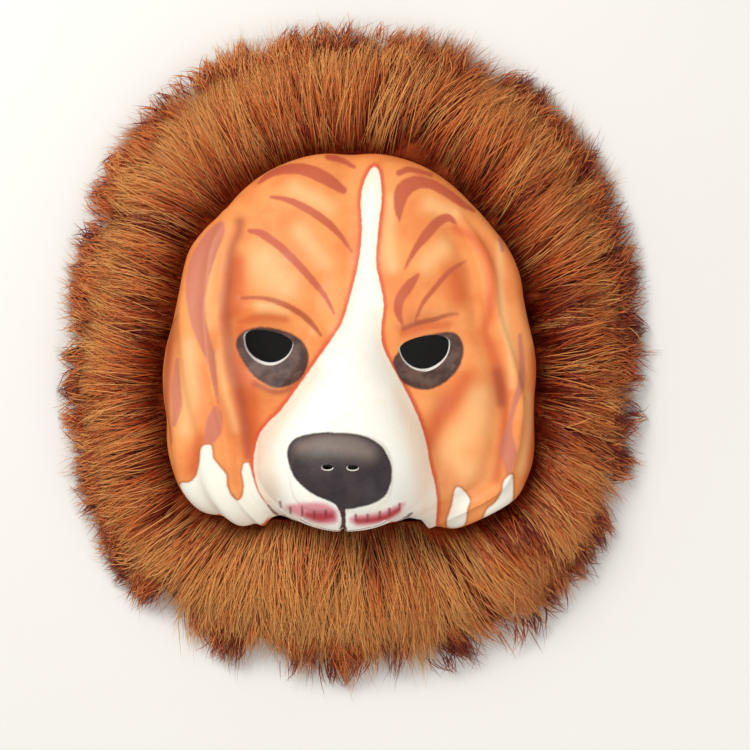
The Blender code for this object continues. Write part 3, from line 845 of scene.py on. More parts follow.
def painted_foam():
    """Airbrushed foam: an orange ground, and each marking laid over it in the painter's order, among them
    painted highlight and painted shade.
    """
    s = Shader("painted_foam")
    mottle = s.noise(55.0, 4.0)
    wobble = s.maths("MULTIPLY_ADD", s.noise(420.0, 2.0), 1.6)
    wobble.node.inputs[2].default_value = -0.8

    def mask(name, soft, edge=0.0):
        distance = s.maths("ADD", s.attribute(name), wobble)
        return s.spread(distance, edge - soft, edge + soft, 1.0, 0.0)

    def tint(under, top, share, most):
        return s.over(under, top, s.maths("MULTIPLY", share, most))

    paint = s.over(colour(240, 140, 74), colour(250, 160, 90), s.spread(mottle, 0.35, 0.65))
    # Painted highlight, then mild and deep painted shade, partly the airbrush's own light and burnt orange
    paint = tint(paint, colour(255, 198, 134), s.attribute("painted_highlight"), 0.68)
    paint = tint(paint, colour(216, 98, 44), s.attribute("shade"), 0.80)
    paint = tint(paint, colour(160, 66, 40), s.attribute("deep_shade"), 0.72)
    paint = tint(paint, colour(196, 90, 62), mask("stripes", 1.5), 0.90)
    paint = tint(paint, colour(166, 66, 32), mask("creases", 1.8), 0.80)
    paint = tint(paint, colour(204, 120, 98), mask("ear_marks", 1.8), 0.88)
    paint = tint(paint, colour(196, 110, 56), mask("tips", 1.0, 2.2), 0.75)
    paint = tint(paint, colour(222, 86, 56), mask("white", 2.2, 3.8), 0.85)
    white = s.over(colour(255, 254, 244), colour(254, 246, 226), s.spread(mottle, 0.50, 0.80))
    # Warm tint near the white's edge and on the muzzle's flanks: partly airbrush, partly painted shade on
    # the muzzle's sides
    edge = s.spread(s.attribute("white"), -12.0, 0.0)
    white = tint(white, colour(250, 232, 200), edge, 0.55)
    white = tint(white, colour(250, 226, 200), s.attribute("flank_shade"), 0.70)
    paint = s.over(paint, white, mask("white", 1.0))
    paint = s.over(paint, colour(255, 253, 238), mask("tips", 1.4))
    grain = s.noise(2600.0, 2.0)
    patch = s.over(colour(70, 44, 38), colour(104, 78, 68), s.spread(s.noise(160.0), 0.35, 0.65))
    rim = s.spread(s.attribute("patches"), -5.0, 0.5)
    patch = tint(patch, colour(78, 34, 26), rim, 0.75)
    patch = tint(patch, colour(140, 120, 112), s.spread(grain, 0.55, 0.80), 0.25)
    paint = s.over(paint, patch, mask("patches", 1.6))
    paint = tint(paint, colour(236, 150, 160), mask("lips", 3.2), 0.95)
    paint = tint(paint, colour(184, 22, 44), s.attribute("red"), 0.95)
    # Dark line along the lips: painted mouth line and painted shade beneath the lip's edge
    paint = tint(paint, colour(96, 34, 40), mask("lip_line_and_shade", 1.2), 0.80)
    dark = s.over(colour(44, 33, 38), colour(58, 45, 50), s.spread(s.noise(160.0), 0.35, 0.65))
    # Painted highlight on the top of the nose pad
    dark = tint(dark, colour(150, 134, 124), s.attribute("nose_highlight"), 0.66)
    dark = tint(dark, colour(150, 140, 138), s.spread(grain, 0.58, 0.82), 0.18)
    dark = tint(dark, colour(44, 34, 34), s.spread(s.attribute("nose"), -5.0, 0.0), 0.60)
    paint = tint(paint, colour(122, 14, 34), mask("dabs", 1.5), 0.88)
    paint = s.over(paint, colour(62, 16, 22), mask("lines", 1.0))
    paint = s.over(paint, dark, mask("nose", 1.2))
    foam = s.bump(s.cells(1500.0), 0.00012, 0.55)
    surface = s.bump(s.noise(260.0, 5.0, 0.6), 0.0006, 0.30, foam)
    rough = s.spread(s.noise(90.0), 0.3, 0.7, 0.42, 0.58)
    return s.finish(paint, rough, surface, Specular_IOR_Level=0.42)


def bare_foam(name, shade, dirt):
    """Unpainted foam, with its fine open cells."""
    s = Shader(name)
    paint = s.over(shade, dirt, s.spread(s.noise(70.0, 5.0), 0.45, 0.75))
    normal = s.bump(s.cells(900.0), 0.0003, 0.6)
    return s.finish(paint, 0.85, normal, Specular_IOR_Level=0.25)


def fur_fibre():
    """Dyed acrylic pile: mahogany roots, golden-brown lengths and tan tips, lighter or redder by lock and by
    the painted light and shade that the strands' tone carries.
    """
    s = Shader("long_pile_fur")
    along, tone = s.attribute("fur_along"), s.attribute("fur_tone_and_light")
    body = s.ramp(along, (
        (0.00, colour(134, 32, 14)),
        (0.20, colour(178, 66, 28)),
        (0.45, colour(222, 116, 48)),
        (0.75, colour(238, 148, 72)),
        (1.00, colour(240, 168, 98)),
    ))
    # The strands' tone lightens or darkens them: by lock, and as painted shade beside the face and painted
    # light at the upper left and below the chin
    dark = s.times(body, colour(150, 80, 66))
    light = s.over(body, colour(255, 204, 122), 0.60)
    shade = s.over(dark, body, s.spread(tone, 0.0, 0.5))
    shade = s.over(shade, light, s.spread(tone, 0.5, 1.0))
    return s.finish(shade, 0.42, Specular_IOR_Level=0.45)


def fur_roots():
    """The dense dark underfur between the strands."""
    s = Shader("fur_underlayer")
    paint = s.over(colour(118, 36, 16), colour(168, 78, 34), s.noise(220.0, 5.0))
    return s.finish(paint, 0.95, s.bump(s.noise(600.0, 4.0), 0.001, 0.8), Specular_IOR_Level=0.1)


def knitted_backing():
    """The brown knitted cloth that carries the pile."""
    s = Shader("knitted_backing")
    x, y = s.across_and_up()
    wales = s.maths("SINE", s.maths("MULTIPLY", x, 4200.0))
    courses = s.maths("SINE", s.maths("MULTIPLY", y, 3100.0))
    knit = s.maths("ADD", wales, courses)
    paint = s.over(colour(96, 60, 40), colour(140, 96, 68), s.spread(knit, -1.5, 1.5))
    paint = s.over(paint, colour(82, 46, 30), s.spread(s.noise(40.0), 0.5, 0.8))
    return s.finish(paint, 0.9, s.bump(knit, 0.0003, 0.6), Specular_IOR_Level=0.2)


def woven_elastic():
    """Black braided elastic."""
    s = Shader("woven_elastic")
    x, y = s.across_and_up()
    picks = s.maths("SINE", s.maths("MULTIPLY", x, 5200.0))
    ribs = s.maths("SINE", s.maths("MULTIPLY", y, 4600.0))
    weave = s.maths("MULTIPLY", picks, ribs)
    paint = s.over(colour(22, 21, 24), colour(58, 56, 60), s.spread(weave, 0.0, 1.0))
    return s.finish(paint, 0.72, s.bump(weave, 0.00025, 0.7), Specular_IOR_Level=0.3)


def thread():
    s = Shader("sewing_thread")
    paint = s.over(colour(60, 26, 16), colour(104, 52, 30), s.noise(900.0))
    return s.finish(paint, 0.7)


def plain_floor():
    s = Shader("pale_floor")
    return s.finish(s.over(colour(238, 236, 232), colour(244, 243, 240), s.noise(3.0)), 0.8)


def bridge(first, first_count, second, second_count):
    """Faces between two rings of points, of which one may have 2 or 4 times the other's points."""
    count = min(first_count, second_count)
    side = np.arange(count)
    after = (side + 1) % count
    if first_count == second_count:
        return np.stack([first + side, second + side, second + after, first + after], axis=1).tolist()
    coarse, fine = (first, second) if first_count < second_count else (second, first)
    ratio = max(first_count, second_count) // count
    faces = []
    for step in range(ratio):
        corner = side if 2 * step < ratio else after
        low = fine + side * ratio + step
        high = fine + (side * ratio + step + 1) % (count * ratio)
        faces += np.stack([coarse + corner, low, high], axis=1).tolist()
    middle = fine + side * ratio + ratio // 2
    faces += np.stack([coarse + side, middle, coarse + after], axis=1).tolist()
    return faces


def moulded_points(sides, rings):
    """Outer points and unit normals of the moulded face as [ring, side, xyz], with its fine relief."""
    angle = np.linspace(0, 2 * math.pi, sides, endpoint=False)
    way = even_ways(angle, rings)
    angle = np.broadcast_to(angle, way.shape)
    base, normal = smooth_face(angle, way), outward(angle, way)
    normal[0] = normal[0].mean(axis=0) / np.linalg.norm(normal[0].mean(axis=0))
    height = relief(base[..., 0], base[..., 1], way)
    return base + normal * height[..., None], normal


def brim_points(edge, normal, count):
    """Levels of the brim below a wall's edge, tucked in towards the rim."""
    levels = [edge]
    for share in np.linspace(0, 1, count + 1)[1:]:
        level = edge - normal * RIM_TUCK * share
        level[:, 2] = edge[:, 2] + (RIM_Z - edge[:, 2]) * share
        levels.append(level)
    return levels


def fine_relief(points):
    """Moulded creases along the painted brow lines and the lips, and the foam's slight unevenness."""
    spots = to_picture(points)
    brows = np.clip(nearest(spots, strokes=BROW_CREASES), 0, None)
    lips = np.clip(nearest(spots, strokes=LIP_LINE), 0, None)
    brow_groove = BROW_GROOVE_DEPTH * np.exp(-((brows / BROW_GROOVE_PX) ** 2))
    lip_groove = LIP_GROOVE_DEPTH * np.exp(-((lips / LIP_GROOVE_PX) ** 2))
    return FOAM_UNEVENNESS * ripple(points, FOAM_UNEVEN_PITCH, FOAM_SEED) - (brow_groove + lip_groove)


def unrolled_px(levels):
    """How far each point of [ring, side, xyz] shifts outwards in the picture when the face's steep outer
    wall, which the camera doesn't see, is rolled flat, in pixels."""
    seen = to_picture(levels)
    out = np.linalg.norm(seen - seen[0, 0], axis=-1)
    walked = np.linalg.norm(np.diff(levels, axis=0), axis=-1) * FOCAL_LENGTH_PX / CAMERA_DISTANCE
    gained = np.diff(out, axis=0)
    steep = (gained < STEEP_SHARE * walked).astype(float)
    wall = np.cumprod(steep[::-1], axis=0)[::-1]
    return np.concatenate([np.zeros((1, levels.shape[1])), np.cumsum(wall * (walked - gained), axis=0)])


def skin_rings():
    """The skin's rings from the nose out and back under the lining, as [(points, sides), ...], its two
    middle points, and how far each outer point's paint shifts."""
    most = SKIN_BANDS[-1][1]
    outer, normal = moulded_points(most, SKIN_RINGS)
    flat = outer.reshape(-1, 3)
    outer = outer + normal * fine_relief(flat).reshape(outer.shape[:2])[..., None]
    rings = []
    for ring in range(1, SKIN_RINGS):
        sides = [count for first, count in SKIN_BANDS if ring >= first][-1]
        rings.append((outer[ring][:: most // sides], sides))
    levels = brim_points(outer[-1], normal[-1], BRIM_RINGS)
    rings += [(level, most) for level in levels]
    unrolled = unrolled_px(np.concatenate([outer[:-1], levels]))
    lining, normal_in = moulded_points(LINING_SIDES, LINING_RINGS)
    lining = lining - normal_in * FOAM_WALL
    inner = [(level, LINING_SIDES) for level in brim_points(lining[-1], normal_in[-1], BRIM_RINGS)]
    rings += inner[::-1]
    rings += [(lining[ring], LINING_SIDES) for ring in range(LINING_RINGS - 1, 0, -1)]
    painted = rings[: len(unrolled) - 1]
    shifts = [shift[:: most // sides] for shift, (_, sides) in zip(unrolled[1:], painted)]
    return rings, outer[0, 0], lining[0, 0], np.concatenate([[0.0], *shifts])


def eye_outline(grown, steps=72):
    """The eye hole about its own middle: a round lower lid under a flatter upper one."""
    turn = np.linspace(0, 2 * math.pi, steps, endpoint=False)
    lower = EYE_HOLE_HEIGHT * (1 - EYE_LID_SHARE) + grown
    upper = EYE_HOLE_HEIGHT * EYE_LID_SHARE
    x = (EYE_HOLE_WIDTH / 2 + grown) * np.cos(turn)
    y = np.where(np.sin(turn) > 0, upper, lower) * np.sin(turn)
    return (
        x * math.cos(EYE_TILT) - y * math.sin(EYE_TILT),
        x * math.sin(EYE_TILT) + y * math.cos(EYE_TILT),
    )


def cutter(name, outlines, material):
    """A helper solid through a closed outline at each height: [(x, y, z), ...] from low to high."""
    steps = len(outlines[0][0])
    points = [(x, y, z) for xs, ys, z in outlines for x, y in zip(xs, ys)]
    faces = [list(range(steps)), list(range(len(points) - steps, len(points)))]
    for row in range(len(outlines) - 1):
        faces += bridge(row * steps, steps, (row + 1) * steps, steps)
    helper = new_mesh_object(name, points, faces, [material], smooth=False)
    face_outwards(helper)
    return helper


def eye_cutter(side, material):
    foot_x, foot_y = eye_outline(0.0)
    mouth_x, mouth_y = eye_outline(EYE_FLARE)
    middle_x, middle_y = side * EYE_SPACING / 2, EYE_Y - side * EYE_SKEW
    foot = (middle_x + side * foot_x, middle_y + foot_y)
    mouth = (middle_x + side * mouth_x, middle_y + mouth_y - EYE_FLARE_DROP)
    surface = DOME_TOP_Z - RELIEF_HEIGHT
    top = DOME_TOP_Z + MUZZLE_RISE
    outlines = [(*foot, RIM_Z), (*foot, surface - 2 * FOAM_WALL), (*mouth, surface), (*mouth, top)]
    return cutter("eye_cutter_" + ("right" if side > 0 else "left"), outlines, material)


def nostril_cutter(side, material, steps=32):
    turn = np.linspace(0, 2 * math.pi, steps, endpoint=False)
    middle = side * NOSTRIL_SPACING / 2
    top = DOME_TOP_Z + MUZZLE_RISE + NOSE_RISE
    levels = (
        # flare, drop, z
        (1.0, 0.0, DOME_TOP_Z),
        (1.0, 0.0, top - FOAM_WALL),
        (NOSTRIL_FLARE, NOSTRIL_FLARE_DROP, top + FOAM_WALL),
    )
    outlines = []
    for flare, drop, z in levels:
        x = middle + flare * NOSTRIL_WIDTH / 2 * np.cos(turn)
        y = NOSTRIL_Y - drop + flare * NOSTRIL_HEIGHT / 2 * np.sin(turn)
        outlines.append((x, y, z))
    return cutter("nostril_cutter_" + ("right" if side > 0 else "left"), outlines, material)


def cut_holes(made, helpers):
    """Cuts each helper out of a mesh, and gives the cut walls the helper's material."""
    for helper in helpers:
        modifier = made.modifiers.new(helper.name, "BOOLEAN")
        modifier.operation = "DIFFERENCE"
        modifier.solver = "EXACT"
        modifier.material_mode = "TRANSFER"
        modifier.object = helper
    bpy.context.view_layer.update()
    shaped = bpy.data.meshes.new_from_object(made.evaluated_get(bpy.context.evaluated_depsgraph_get()))
    made.modifiers.clear()
    made.data = shaped
    for helper in helpers:
        bpy.data.objects.remove(helper)


def paint_face(made):
    """Writes the painting's distances and airbrush fields on the skin's points."""
    spots = to_picture(read_points(made.data))
    shift = np.zeros(len(spots), np.float32)
    made.data.attributes["unrolled"].data.foreach_get("value", shift)
    from_nose = spots - to_picture(np.array([0, NOSE_Y, DOME_TOP_Z + MUZZLE_RISE]))
    from_nose /= np.linalg.norm(from_nose, axis=1, keepdims=True) + 1e-9
    spots = spots + from_nose * shift[:, None]
    fields = {
        "white": nearest(spots, [BLAZE]),
        "tips": nearest(spots, [LEFT_TIP, RIGHT_TIP_INNER, RIGHT_TIP_OUTER]),
        "patches": nearest(spots, [LEFT_PATCH, RIGHT_PATCH]),
        "nose": nearest(spots, [NOSE_PAD]),
        "lips": nearest(spots, [LEFT_LIP, RIGHT_LIP]),
        "ear_marks": nearest(spots, [LEFT_EAR_PATCH, LEFT_EAR_BLOB], EAR_STROKES),
        "stripes": nearest(spots, strokes=STRIPES),
        "creases": nearest(spots, strokes=BROW_CREASES),
        "lip_line_and_shade": nearest(spots, strokes=LIP_LINE),
        "lines": nearest(spots, strokes=PHILTRUM),
        "dabs": nearest(spots, strokes=WHISKER_DABS),
        "shade": soft_strokes(spots, SHADE_STROKES),
        "deep_shade": soft_strokes(spots, DEEP_SHADE_STROKES),
        "painted_highlight": soft_strokes(spots, HIGHLIGHT_STROKES),
        "flank_shade": soft_strokes(spots, FLANK_SHADE_STROKES),
        "red": soft_strokes(spots, RED_STROKES),
        "nose_highlight": soft_strokes(spots, NOSE_HIGHLIGHT_STROKES),
    }
    for name, values in fields.items():
        write_attribute(made, name, values)


def build_face_skin():
    painted = painted_foam()
    # Near-black lining, darkened so that the hollow seen through the eye and nostril holes reads as painted
    # shade
    lining = bare_foam("lining_darkened_as_shade", colour(20, 19, 21), colour(12, 12, 13))
    core = bare_foam("foam_core", colour(255, 252, 246), colour(248, 240, 232))
    rings, top, under, shifts = skin_rings()
    points = np.concatenate([[top]] + [row for row, _ in rings] + [[under]])
    faces, marks = [], []
    first = 1
    outer_rings = SKIN_RINGS + BRIM_RINGS
    sides = rings[0][1]
    faces += [[0, 1 + side, 1 + (side + 1) % sides] for side in range(sides)]
    marks += [0] * sides
    for index, (row, count) in enumerate(rings[:-1]):
        band = bridge(first, count, first + count, rings[index + 1][1])
        faces += band
        marks += [0 if index < outer_rings - 1 else 1] * len(band)
        first += count
    last, sides = len(points) - 1, rings[-1][1]
    faces += [[last, first + (side + 1) % sides, first + side] for side in range(sides)]
    marks += [1] * sides
    skin = new_mesh_object("face_skin", points, faces, [painted, lining])
    skin.data.polygons.foreach_set("material_index", np.array(marks, np.int32))
    face_outwards(skin)
    write_attribute(skin, "unrolled", np.concatenate([shifts, np.zeros(len(points) - len(shifts))]))
    cut_holes(skin, [make(side, core) for make in (eye_cutter, nostril_cutter) for side in (-1, 1)])
    skin.data.set_sharp_from_angle(angle=FOAM_CREASE_ANGLE)
    paint_face(skin)
    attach(skin, "root")
    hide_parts("face_shell")
    return skin


def mane_share(x, y):
    power = MANE_SQUARENESS
    return (np.abs(2 * x / MANE_WIDTH) ** power + np.abs(2 * y / MANE_LENGTH) ** power) ** (1 / power)


class FurRing:
    """The fur ring's edges: how far out they are at any angle about the origin."""

    def __init__(self):
        self.angle = np.linspace(0, 2 * math.pi, 721)
        shell = reach_along(self.angle, face_share)
        ears = np.clip(ear_relief(shell * np.cos(self.angle), shell * np.sin(self.angle)), 0, None)
        self.face = shell + ears + FUR_FACE_GAP
        self.band = reach_along(self.angle, lambda x, y: face_share(x, y, -SEAM_ALLOWANCE))
        self.mane = reach_along(self.angle, mane_share)

    def at(self, edge, angle):
        return np.interp(angle % (2 * math.pi), self.angle, edge)

    def radius(self, angle, way):
        face = self.at(self.face, angle)
        return face + way * (self.at(self.mane, angle) - face)

    def width(self, angle):
        return self.at(self.mane, angle) - self.at(self.face, angle)


def fur_top(way):
    return FUR_HEIGHT * smooth_table(way, FUR_PROFILE, 1)


def lock_edge(angle):
    """How far out the fur's ragged edge comes at each angle, as a way."""
    waves = sum(np.sin(count * angle + phase) for count, phase in EDGE_WAVES)
    return 1.0 - FUR_EDGE_SCALLOP * (0.5 - waves / (2 * len(EDGE_WAVES)))


def mane_tone_and_light(angle, start):
    """Painted light and shade on the pile, over its own tone: tan at the upper left and redder at the lower
    right, partly dye and partly painted light from the upper left; painted shade beside the face except
    below the chin, painted light below the chin, and darker towards the ring's outer edge."""
    over_chin = eased((np.sin(angle) + 0.90) / 0.40)
    shade_beside_face = np.exp(-((start / 0.13) ** 2)) * over_chin
    outer = eased((start - 0.35) / 0.35)
    around = 0.24 * np.cos(angle - PAINTED_LIGHT_SIDE_ANGLE) * (0.4 + 0.6 * outer)
    return around + 0.24 * (1 - over_chin) * (1 - outer) - 0.22 * shade_beside_face - 0.46 * outer + 0.14


def lock_flow(angle, way):
    """How far the pile leans sideways, in radians, over the ring."""
    return sum(lean * np.sin(count * angle + phase + turn * way) for lean, count, phase, turn in FLOW_WAVES)


def strand_tubes(paths, radii):
    """Closed three-sided tapering tubes along paths [strand, point, xyz]: points, faces, each point's share
    of the way along, and the count of points a strand."""
    strands, count = paths.shape[:2]
    along = np.gradient(paths, axis=1)
    along /= np.linalg.norm(along, axis=-1, keepdims=True) + 1e-12
    side = np.cross(along, [0, 0, 1.0])
    side /= np.linalg.norm(side, axis=-1, keepdims=True) + 1e-9
    up = np.cross(side, along)
    share = np.linspace(0, 1, count)
    swell = (1 - share**2.2) * (0.75 + 0.5 * np.sin(math.pi * share))
    corners = []
    for corner in range(3):
        turn = 2 * math.pi * corner / 3 + math.pi / 2
        offset = (side * math.cos(turn) + up * math.sin(turn)) * (radii[:, None] * swell)[..., None]
        corners.append((paths + offset)[:, :-1])
    body = np.stack(corners, axis=2).reshape(strands, -1, 3)
    points = np.concatenate([body, paths[:, -1:]], axis=1)
    per = points.shape[1]
    pattern = [(0, 2, 1)]
    for row in range(count - 2):
        for corner in range(3):
            after = (corner + 1) % 3
            low, high = 3 * row, 3 * (row + 1)
            pattern.append((low + corner, low + after, high + after, high + corner))
    tip = per - 1
    last = 3 * (count - 2)
    pattern += [(last + corner, last + (corner + 1) % 3, tip) for corner in range(3)]
    faces = []
    start = np.arange(strands) * per
    for face in pattern:
        faces += (start[:, None] + np.array(face)).tolist()
    values = np.concatenate([np.repeat(share[:-1], 3), [1.0]])
    return points.reshape(-1, 3), faces, np.tile(values, strands), per


def strand_runs(ring, layer, rng, locks):
    """Each strand's lock, whether it strays from it, its angle, and the ways where it starts and ends."""
    count, root_from, root_to, shortest, longest = layer[1:6]
    fitting = np.flatnonzero((locks["root"] >= root_from) & (locks["root"] <= root_to))
    lock = rng.choice(fitting, count)
    loose = rng.random(count) < LOOSE_SHARE
    centre = locks["angle"][lock] + np.where(loose, rng.normal(0, LOOSE_ANGLE, count), 0)
    start = np.clip(locks["root"][lock] + rng.normal(0, START_SPREAD, count), root_from, root_to)
    length = rng.uniform(shortest, longest, count) * locks["length"][lock]
    width = ring.width(centre)
    end = start + length / width
    wisps = np.where(rng.random(count) < WISP_SHARE, WISP_REACH / width, 0.0)
    reach = locks["reach"][lock] - REACH_SPREAD * rng.random(count) ** 2 + wisps
    end = np.minimum(end, lock_edge(centre) * reach)
    return lock, loose, centre, start, np.maximum(end, start + SHORTEST_RUN / width)


def strand_sway(ring, run, rng, locks, share):
    """How far each strand's points stand beside its angle: gathered to the lock's tip, a little wavy."""
    lock, loose, centre, start, end = run
    count = len(lock)
    lean = lock_flow(centre, start) + locks["lean"][lock] + rng.normal(0, LEAN_SPREAD, count)
    root_side = rng.normal(0, LOCK_ROOT_SPREAD, count)
    tip_side = rng.normal(0, 1, count) * np.where(loose, LOOSE_TIP_TIMES, 1.0) * LOCK_TIP_SPREAD
    tip_side += np.tan(lean) * (end - start) * ring.width(centre)
    bend = share**1.35
    wave = rng.normal(0, STRAND_WAVE, count)[:, None]
    wave = wave * np.sin(share * math.pi * 1.7 + rng.uniform(0, 6, count)[:, None])
    return root_side[:, None] * (1 - bend) + tip_side[:, None] * bend + wave * share


def fur_paths(ring, layer, rng, locks):
    """Strand paths of one layer as [strand, point, xyz], with each strand's tone, which carries painted
    light and shade.
    """
    root_depth, tip_rise, tone = layer[6:]
    run = strand_runs(ring, layer, rng, locks)
    lock, _, centre, start, end = run
    count = len(lock)
    share = np.linspace(0, 1, FUR_POINTS)[None]
    way = start[:, None] + (end - start)[:, None] * share
    sideways = strand_sway(ring, run, rng, locks, share)
    turn = centre[:, None] + sideways / ring.radius(centre[:, None], way)
    radius = ring.radius(turn, way)
    tip = tip_rise + RISE_SPREAD * rng.normal(0, 1, count)[:, None]
    rise = root_depth + (tip - root_depth) * np.sin(share * math.pi / 2)
    droop = 1 - DROOP_SHARE * eased((end - DROOP_FROM) / DROOP_RUN)[:, None] * share**2.5
    height = BACKING_THICKNESS / 2 + fur_top(way) * rise * droop
    height += locks["lift"][lock][:, None] * share * (1 - way)
    height = np.maximum(height, FUR_LOWEST)
    paths = np.stack([radius * np.cos(turn), radius * np.sin(turn), height], axis=-1)
    shade = 0.5 + tone + LOCK_TONE_SPREAD * locks["tone"][lock] + rng.normal(0, STRAND_TONE_SPREAD, count)
    return paths, shade + mane_tone_and_light(centre, start)


def build_fur(ring):
    fibre = fur_fibre()
    rng = np.random.default_rng(FUR_SEED)
    locks = {
        "angle": rng.uniform(0, 2 * math.pi, LOCK_COUNT),
        "root": 0.84 * rng.uniform(0, 1, LOCK_COUNT) ** 1.35,
        "length": rng.uniform(0.80, 1.15, LOCK_COUNT),
        "lean": rng.normal(0, 0.13, LOCK_COUNT),
        "reach": rng.uniform(0.84, 1.0, LOCK_COUNT),
        "tone": rng.normal(0, 1, LOCK_COUNT),
        "lift": rng.uniform(-0.001, 0.005, LOCK_COUNT),
    }
    for layer in FUR_LAYERS:
        paths, shade = fur_paths(ring, layer, rng, locks)
        radii = STRAND_RADIUS * rng.uniform(0.7, 1.3, len(paths))
        points, faces, along, per = strand_tubes(paths, radii)
        pile = new_mesh_object(layer[0], points, faces, [fibre])
        write_attribute(pile, "fur_along", along)
        write_attribute(pile, "fur_tone_and_light", np.repeat(shade, per))
        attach(pile, "root")
        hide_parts("fur_mane")


def ring_solid(name, rows, around, materials):
    """A closed ring whose cross-section is the given rows of points [row, side, xyz]."""
    faces = []
    for row in range(len(rows)):
        faces += bridge(row * around, around, (row + 1) % len(rows) * around, around)
    made = new_mesh_object(name, np.concatenate(rows), faces, materials)
    face_outwards(made)
    return made


def ring_row(angle, radius, height):
    height = np.broadcast_to(height, angle.shape)
    return np.stack([radius * np.cos(angle), radius * np.sin(angle), height], axis=-1)


def build_underlayer(ring):
    """The dense underfur: low and uneven, falling to the cloth before the pile's edge."""
    cloth_top = BACKING_THICKNESS / 2
    angle = np.linspace(0, 2 * math.pi, RING_SIDES, endpoint=False)
    rows = []
    for way in np.linspace(0.0, UNDERLAYER_EDGE, UNDERLAYER_ROWS):
        row = ring_row(angle, ring.radius(angle, way), 0.0)
        uneven = UNDERLAYER_UNEVENNESS * ripple(row, UNDERLAYER_PITCH, UNDERLAYER_SEED)
        falling = eased((UNDERLAYER_EDGE - way) / UNDERLAYER_FALL)
        top = fur_top(way) * UNDERLAYER_HEIGHT * falling + uneven
        row[:, 2] = cloth_top + np.maximum(top, UNDERLAYER_LEAST)
        rows.append(row)
    for way in (UNDERLAYER_EDGE - 0.01, 0.0):
        rows.append(ring_row(angle, ring.radius(angle, way), cloth_top + UNDERLAYER_LIFT))
    under = ring_solid("fur_underlayer", rows, RING_SIDES, [fur_roots()])
    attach(under, "root")
    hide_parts("fur_mane")


def build_backing(ring):
    """The knitted cloth under the pile: an oval ring, cut out where the face is sewn in."""
    angle = np.linspace(0, 2 * math.pi, RING_SIDES, endpoint=False)
    inside, outside = ring.at(ring.band, angle), ring.radius(angle, BACKING_EDGE)
    stops = np.linspace(0, 1, BACKING_ROWS)
    rows = [ring_row(angle, inside + (outside - inside) * share, BACKING_THICKNESS / 2) for share in stops]
    rows += [ring_row(angle, inside + (outside - inside) * share, BACKING_LIFT) for share in stops[::-1]]
    cloth = ring_solid("fur_backing", rows, RING_SIDES, [knitted_backing()])
    size = tuple(2 * float(np.max(outside * np.abs(wave(angle)))) for wave in (np.cos, np.sin))
    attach(cloth, "root")
    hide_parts("fur_mane")


def strap_path(wall):
    """Half the strap's middle line in x and z: down the wall at +X, over the seam band, slack to x = 0."""
    top, foot = wall
    clear = STRAP_THICKNESS / 2 + SEAM_GAP
    route = []
    for down in np.linspace(STRAP_TAB_TOP, STRAP_TAB_FOOT, 4):
        route.append((top + (foot - top) * down - clear, BRIM_Z - down * BRIM_HEIGHT))
    wall_x, wall_z = route[-1]
    floor_z = STRAP_THICKNESS / 2
    run = SEAM_ALLOWANCE + STRAP_DROP_RUN
    for share in np.linspace(0, 1, 8)[1:]:
        height = (wall_z - floor_z) * (1 - share) ** STRAP_DROP_POWER
        route.append((wall_x - run * share, floor_z + height))
    for share in np.linspace(0, 1, 4 * STRAP_WAVES + 1)[1:]:
        wave = math.sin(math.pi * STRAP_WAVES * share / 2) ** 2
        route.append(((wall_x - run) * (1 - share), floor_z + STRAP_SLACK_WAVE * wave))
    return np.array(route)


def build_strap():
    """The elastic band, with lengthwise ribs, between the inner walls at the strap's height."""
    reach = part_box("head_strap")[1][0]
    top = reach + STRAP_THICKNESS / 2 + SEAM_GAP
    half = strap_path((top, top - RIM_TUCK))
    keys = curve_through(np.concatenate([half * (-1, 1), half[-2::-1]]), False, 4)
    lengths = np.concatenate([[0], np.cumsum(np.linalg.norm(np.diff(keys, axis=0), axis=1))])
    at = np.linspace(0, lengths[-1], STRAP_STEPS)
    x, z = np.interp(at, lengths, keys[:, 0]), np.interp(at, lengths, keys[:, 1])
    along = np.stack([np.gradient(x), np.gradient(z)], axis=-1)
    along /= np.linalg.norm(along, axis=1, keepdims=True)
    across = np.linspace(-0.5, 0.5, STRAP_SECTION_POINTS)
    ribbed = 1 - STRAP_RIB_DEPTH * (1 - np.cos(2 * math.pi * STRAP_RIBS * across))
    thick = STRAP_THICKNESS / 2 * ribbed * (1 - (2 * across) ** STRAP_EDGE_POWER)
    section = list(zip(across, thick)) + list(zip(across[-2:0:-1], -thick[-2:0:-1]))
    points, faces = [], []
    for px, pz, (ax, az) in zip(x, z, along):
        for a, t in section:
            points.append((px - az * t, STRAP_Y + a * STRAP_WIDTH, max(pz + ax * t, 0.0)))
    count = len(section)
    for row in range(len(at) - 1):
        faces += bridge(row * count, count, (row + 1) * count, count)
    faces += [list(range(count)), list(range(len(points) - count, len(points)))]
    band = new_mesh_object("strap_band", points, faces, [woven_elastic()])
    face_outwards(band)
    band.data.set_sharp_from_angle(angle=STRAP_CREASE_ANGLE)
    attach(band, "root")
    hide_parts("head_strap")


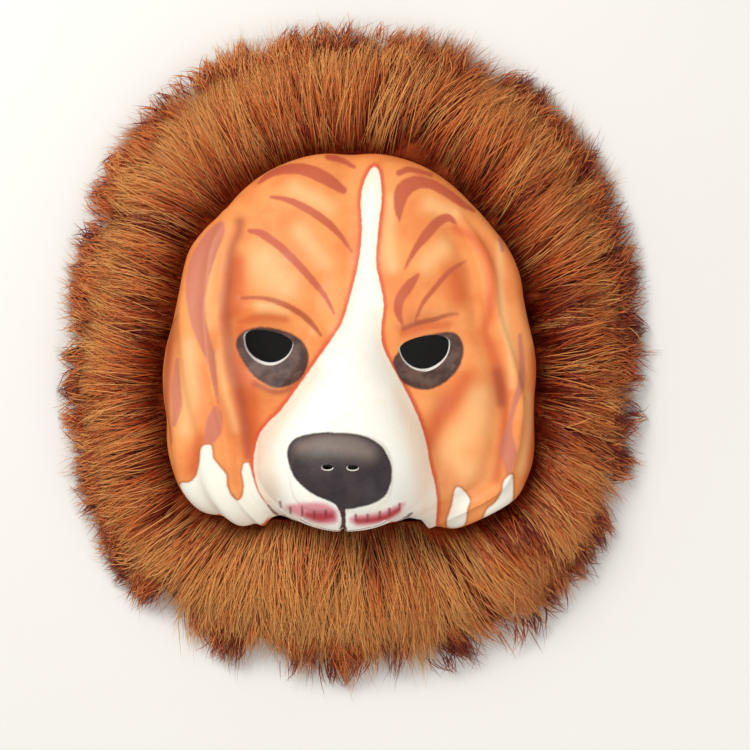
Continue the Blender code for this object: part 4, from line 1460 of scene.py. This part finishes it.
def build_stitches(ring):
    """Overcast stitches that hold the foam's rim to the cloth, as seen from underneath."""
    sides = STITCH_SIDES
    points, faces = [], []
    for angle in np.linspace(0, 2 * math.pi, STITCH_COUNT, endpoint=False):
        rim = float(ring.at(ring.face, angle)) - FUR_FACE_GAP - RIM_TUCK
        first = len(points)
        for share in np.linspace(0, 1, STITCH_STEPS):
            radius = rim - STITCH_INSIDE_RIM + STITCH_LENGTH * share
            turn = angle + STITCH_LEAN * (share - 0.5)
            lift = STITCH_LIFT - STITCH_SAG * math.sin(math.pi * share)
            for corner in range(sides):
                spin = 2 * math.pi * corner / sides
                wide = THREAD_HALF_WIDTH * math.cos(spin)
                points.append((
                    radius * math.cos(turn) - wide * math.sin(turn),
                    radius * math.sin(turn) + wide * math.cos(turn),
                    max(lift + THREAD_HALF_HEIGHT * math.sin(spin), 0.0),
                ))
        for row in range(STITCH_STEPS - 1):
            faces += bridge(first + row * sides, sides, first + (row + 1) * sides, sides)
        faces += [list(range(first, first + sides)), list(range(len(points) - sides, len(points)))]
    seam = new_mesh_object("rim_stitches", points, faces, [thread()])
    face_outwards(seam)
    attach(seam, "root")


def area_light(name, place, size, power, shade):
    """A round soft light at a place, turned to the mask."""
    light = bpy.data.lights.new(name, "AREA")
    light.shape = "DISK"
    light.size = size
    light.energy = power
    light.color = shade
    made = bpy.data.objects.new(name, light)
    bpy.context.scene.collection.objects.link(made)
    back = np.array(place) / np.linalg.norm(place)
    side = np.cross([0, 1.0, 0.01], back)
    side /= np.linalg.norm(side)
    axes = np.stack([side, np.cross(back, side), back], axis=1)
    made.matrix_world = Matrix([[*axes[row], place[row]] for row in range(3)] + [[0, 0, 0, 1]])


def build_stage():
    corners = [(FLOOR_REACH * x, FLOOR_REACH * y, 0) for x, y in ((-1, -1), (1, -1), (1, 1), (-1, 1))]
    floor = new_mesh_object("floor", corners, [[0, 1, 2, 3]], [plain_floor()])
    floor.location.z = -FLOOR_DROP
    bpy.context.scene.view_settings.view_transform = "Standard"
    area_light("key_light", *KEY_LIGHT)
    area_light("fill_light", *FILL_LIGHT)
    world = bpy.data.worlds.new("studio")
    world.use_nodes = True
    sky = world.node_tree.nodes["Background"]
    sky.inputs["Color"].default_value = SKY_COLOUR
    sky.inputs["Strength"].default_value = SKY_STRENGTH
    bpy.context.scene.world = world


def build_camera():
    axes, place = camera_axes()
    camera = bpy.data.cameras.new("camera")
    camera.sensor_width = SENSOR_WIDTH_MM
    camera.lens = FOCAL_LENGTH_PX / PICTURE_SIDE * SENSOR_WIDTH_MM
    camera.clip_start = 0.01
    made = bpy.data.objects.new("camera", camera)
    bpy.context.scene.collection.objects.link(made)
    made.matrix_world = Matrix([[*axes.T[row], place[row]] for row in range(3)] + [[0, 0, 0, 1]])
    bpy.context.scene.camera = made


build_camera()
build_stage()
build_face_skin()
fur_ring = FurRing()
build_underlayer(fur_ring)
build_backing(fur_ring)
build_fur(fur_ring)
build_strap()
build_stitches(fur_ring)
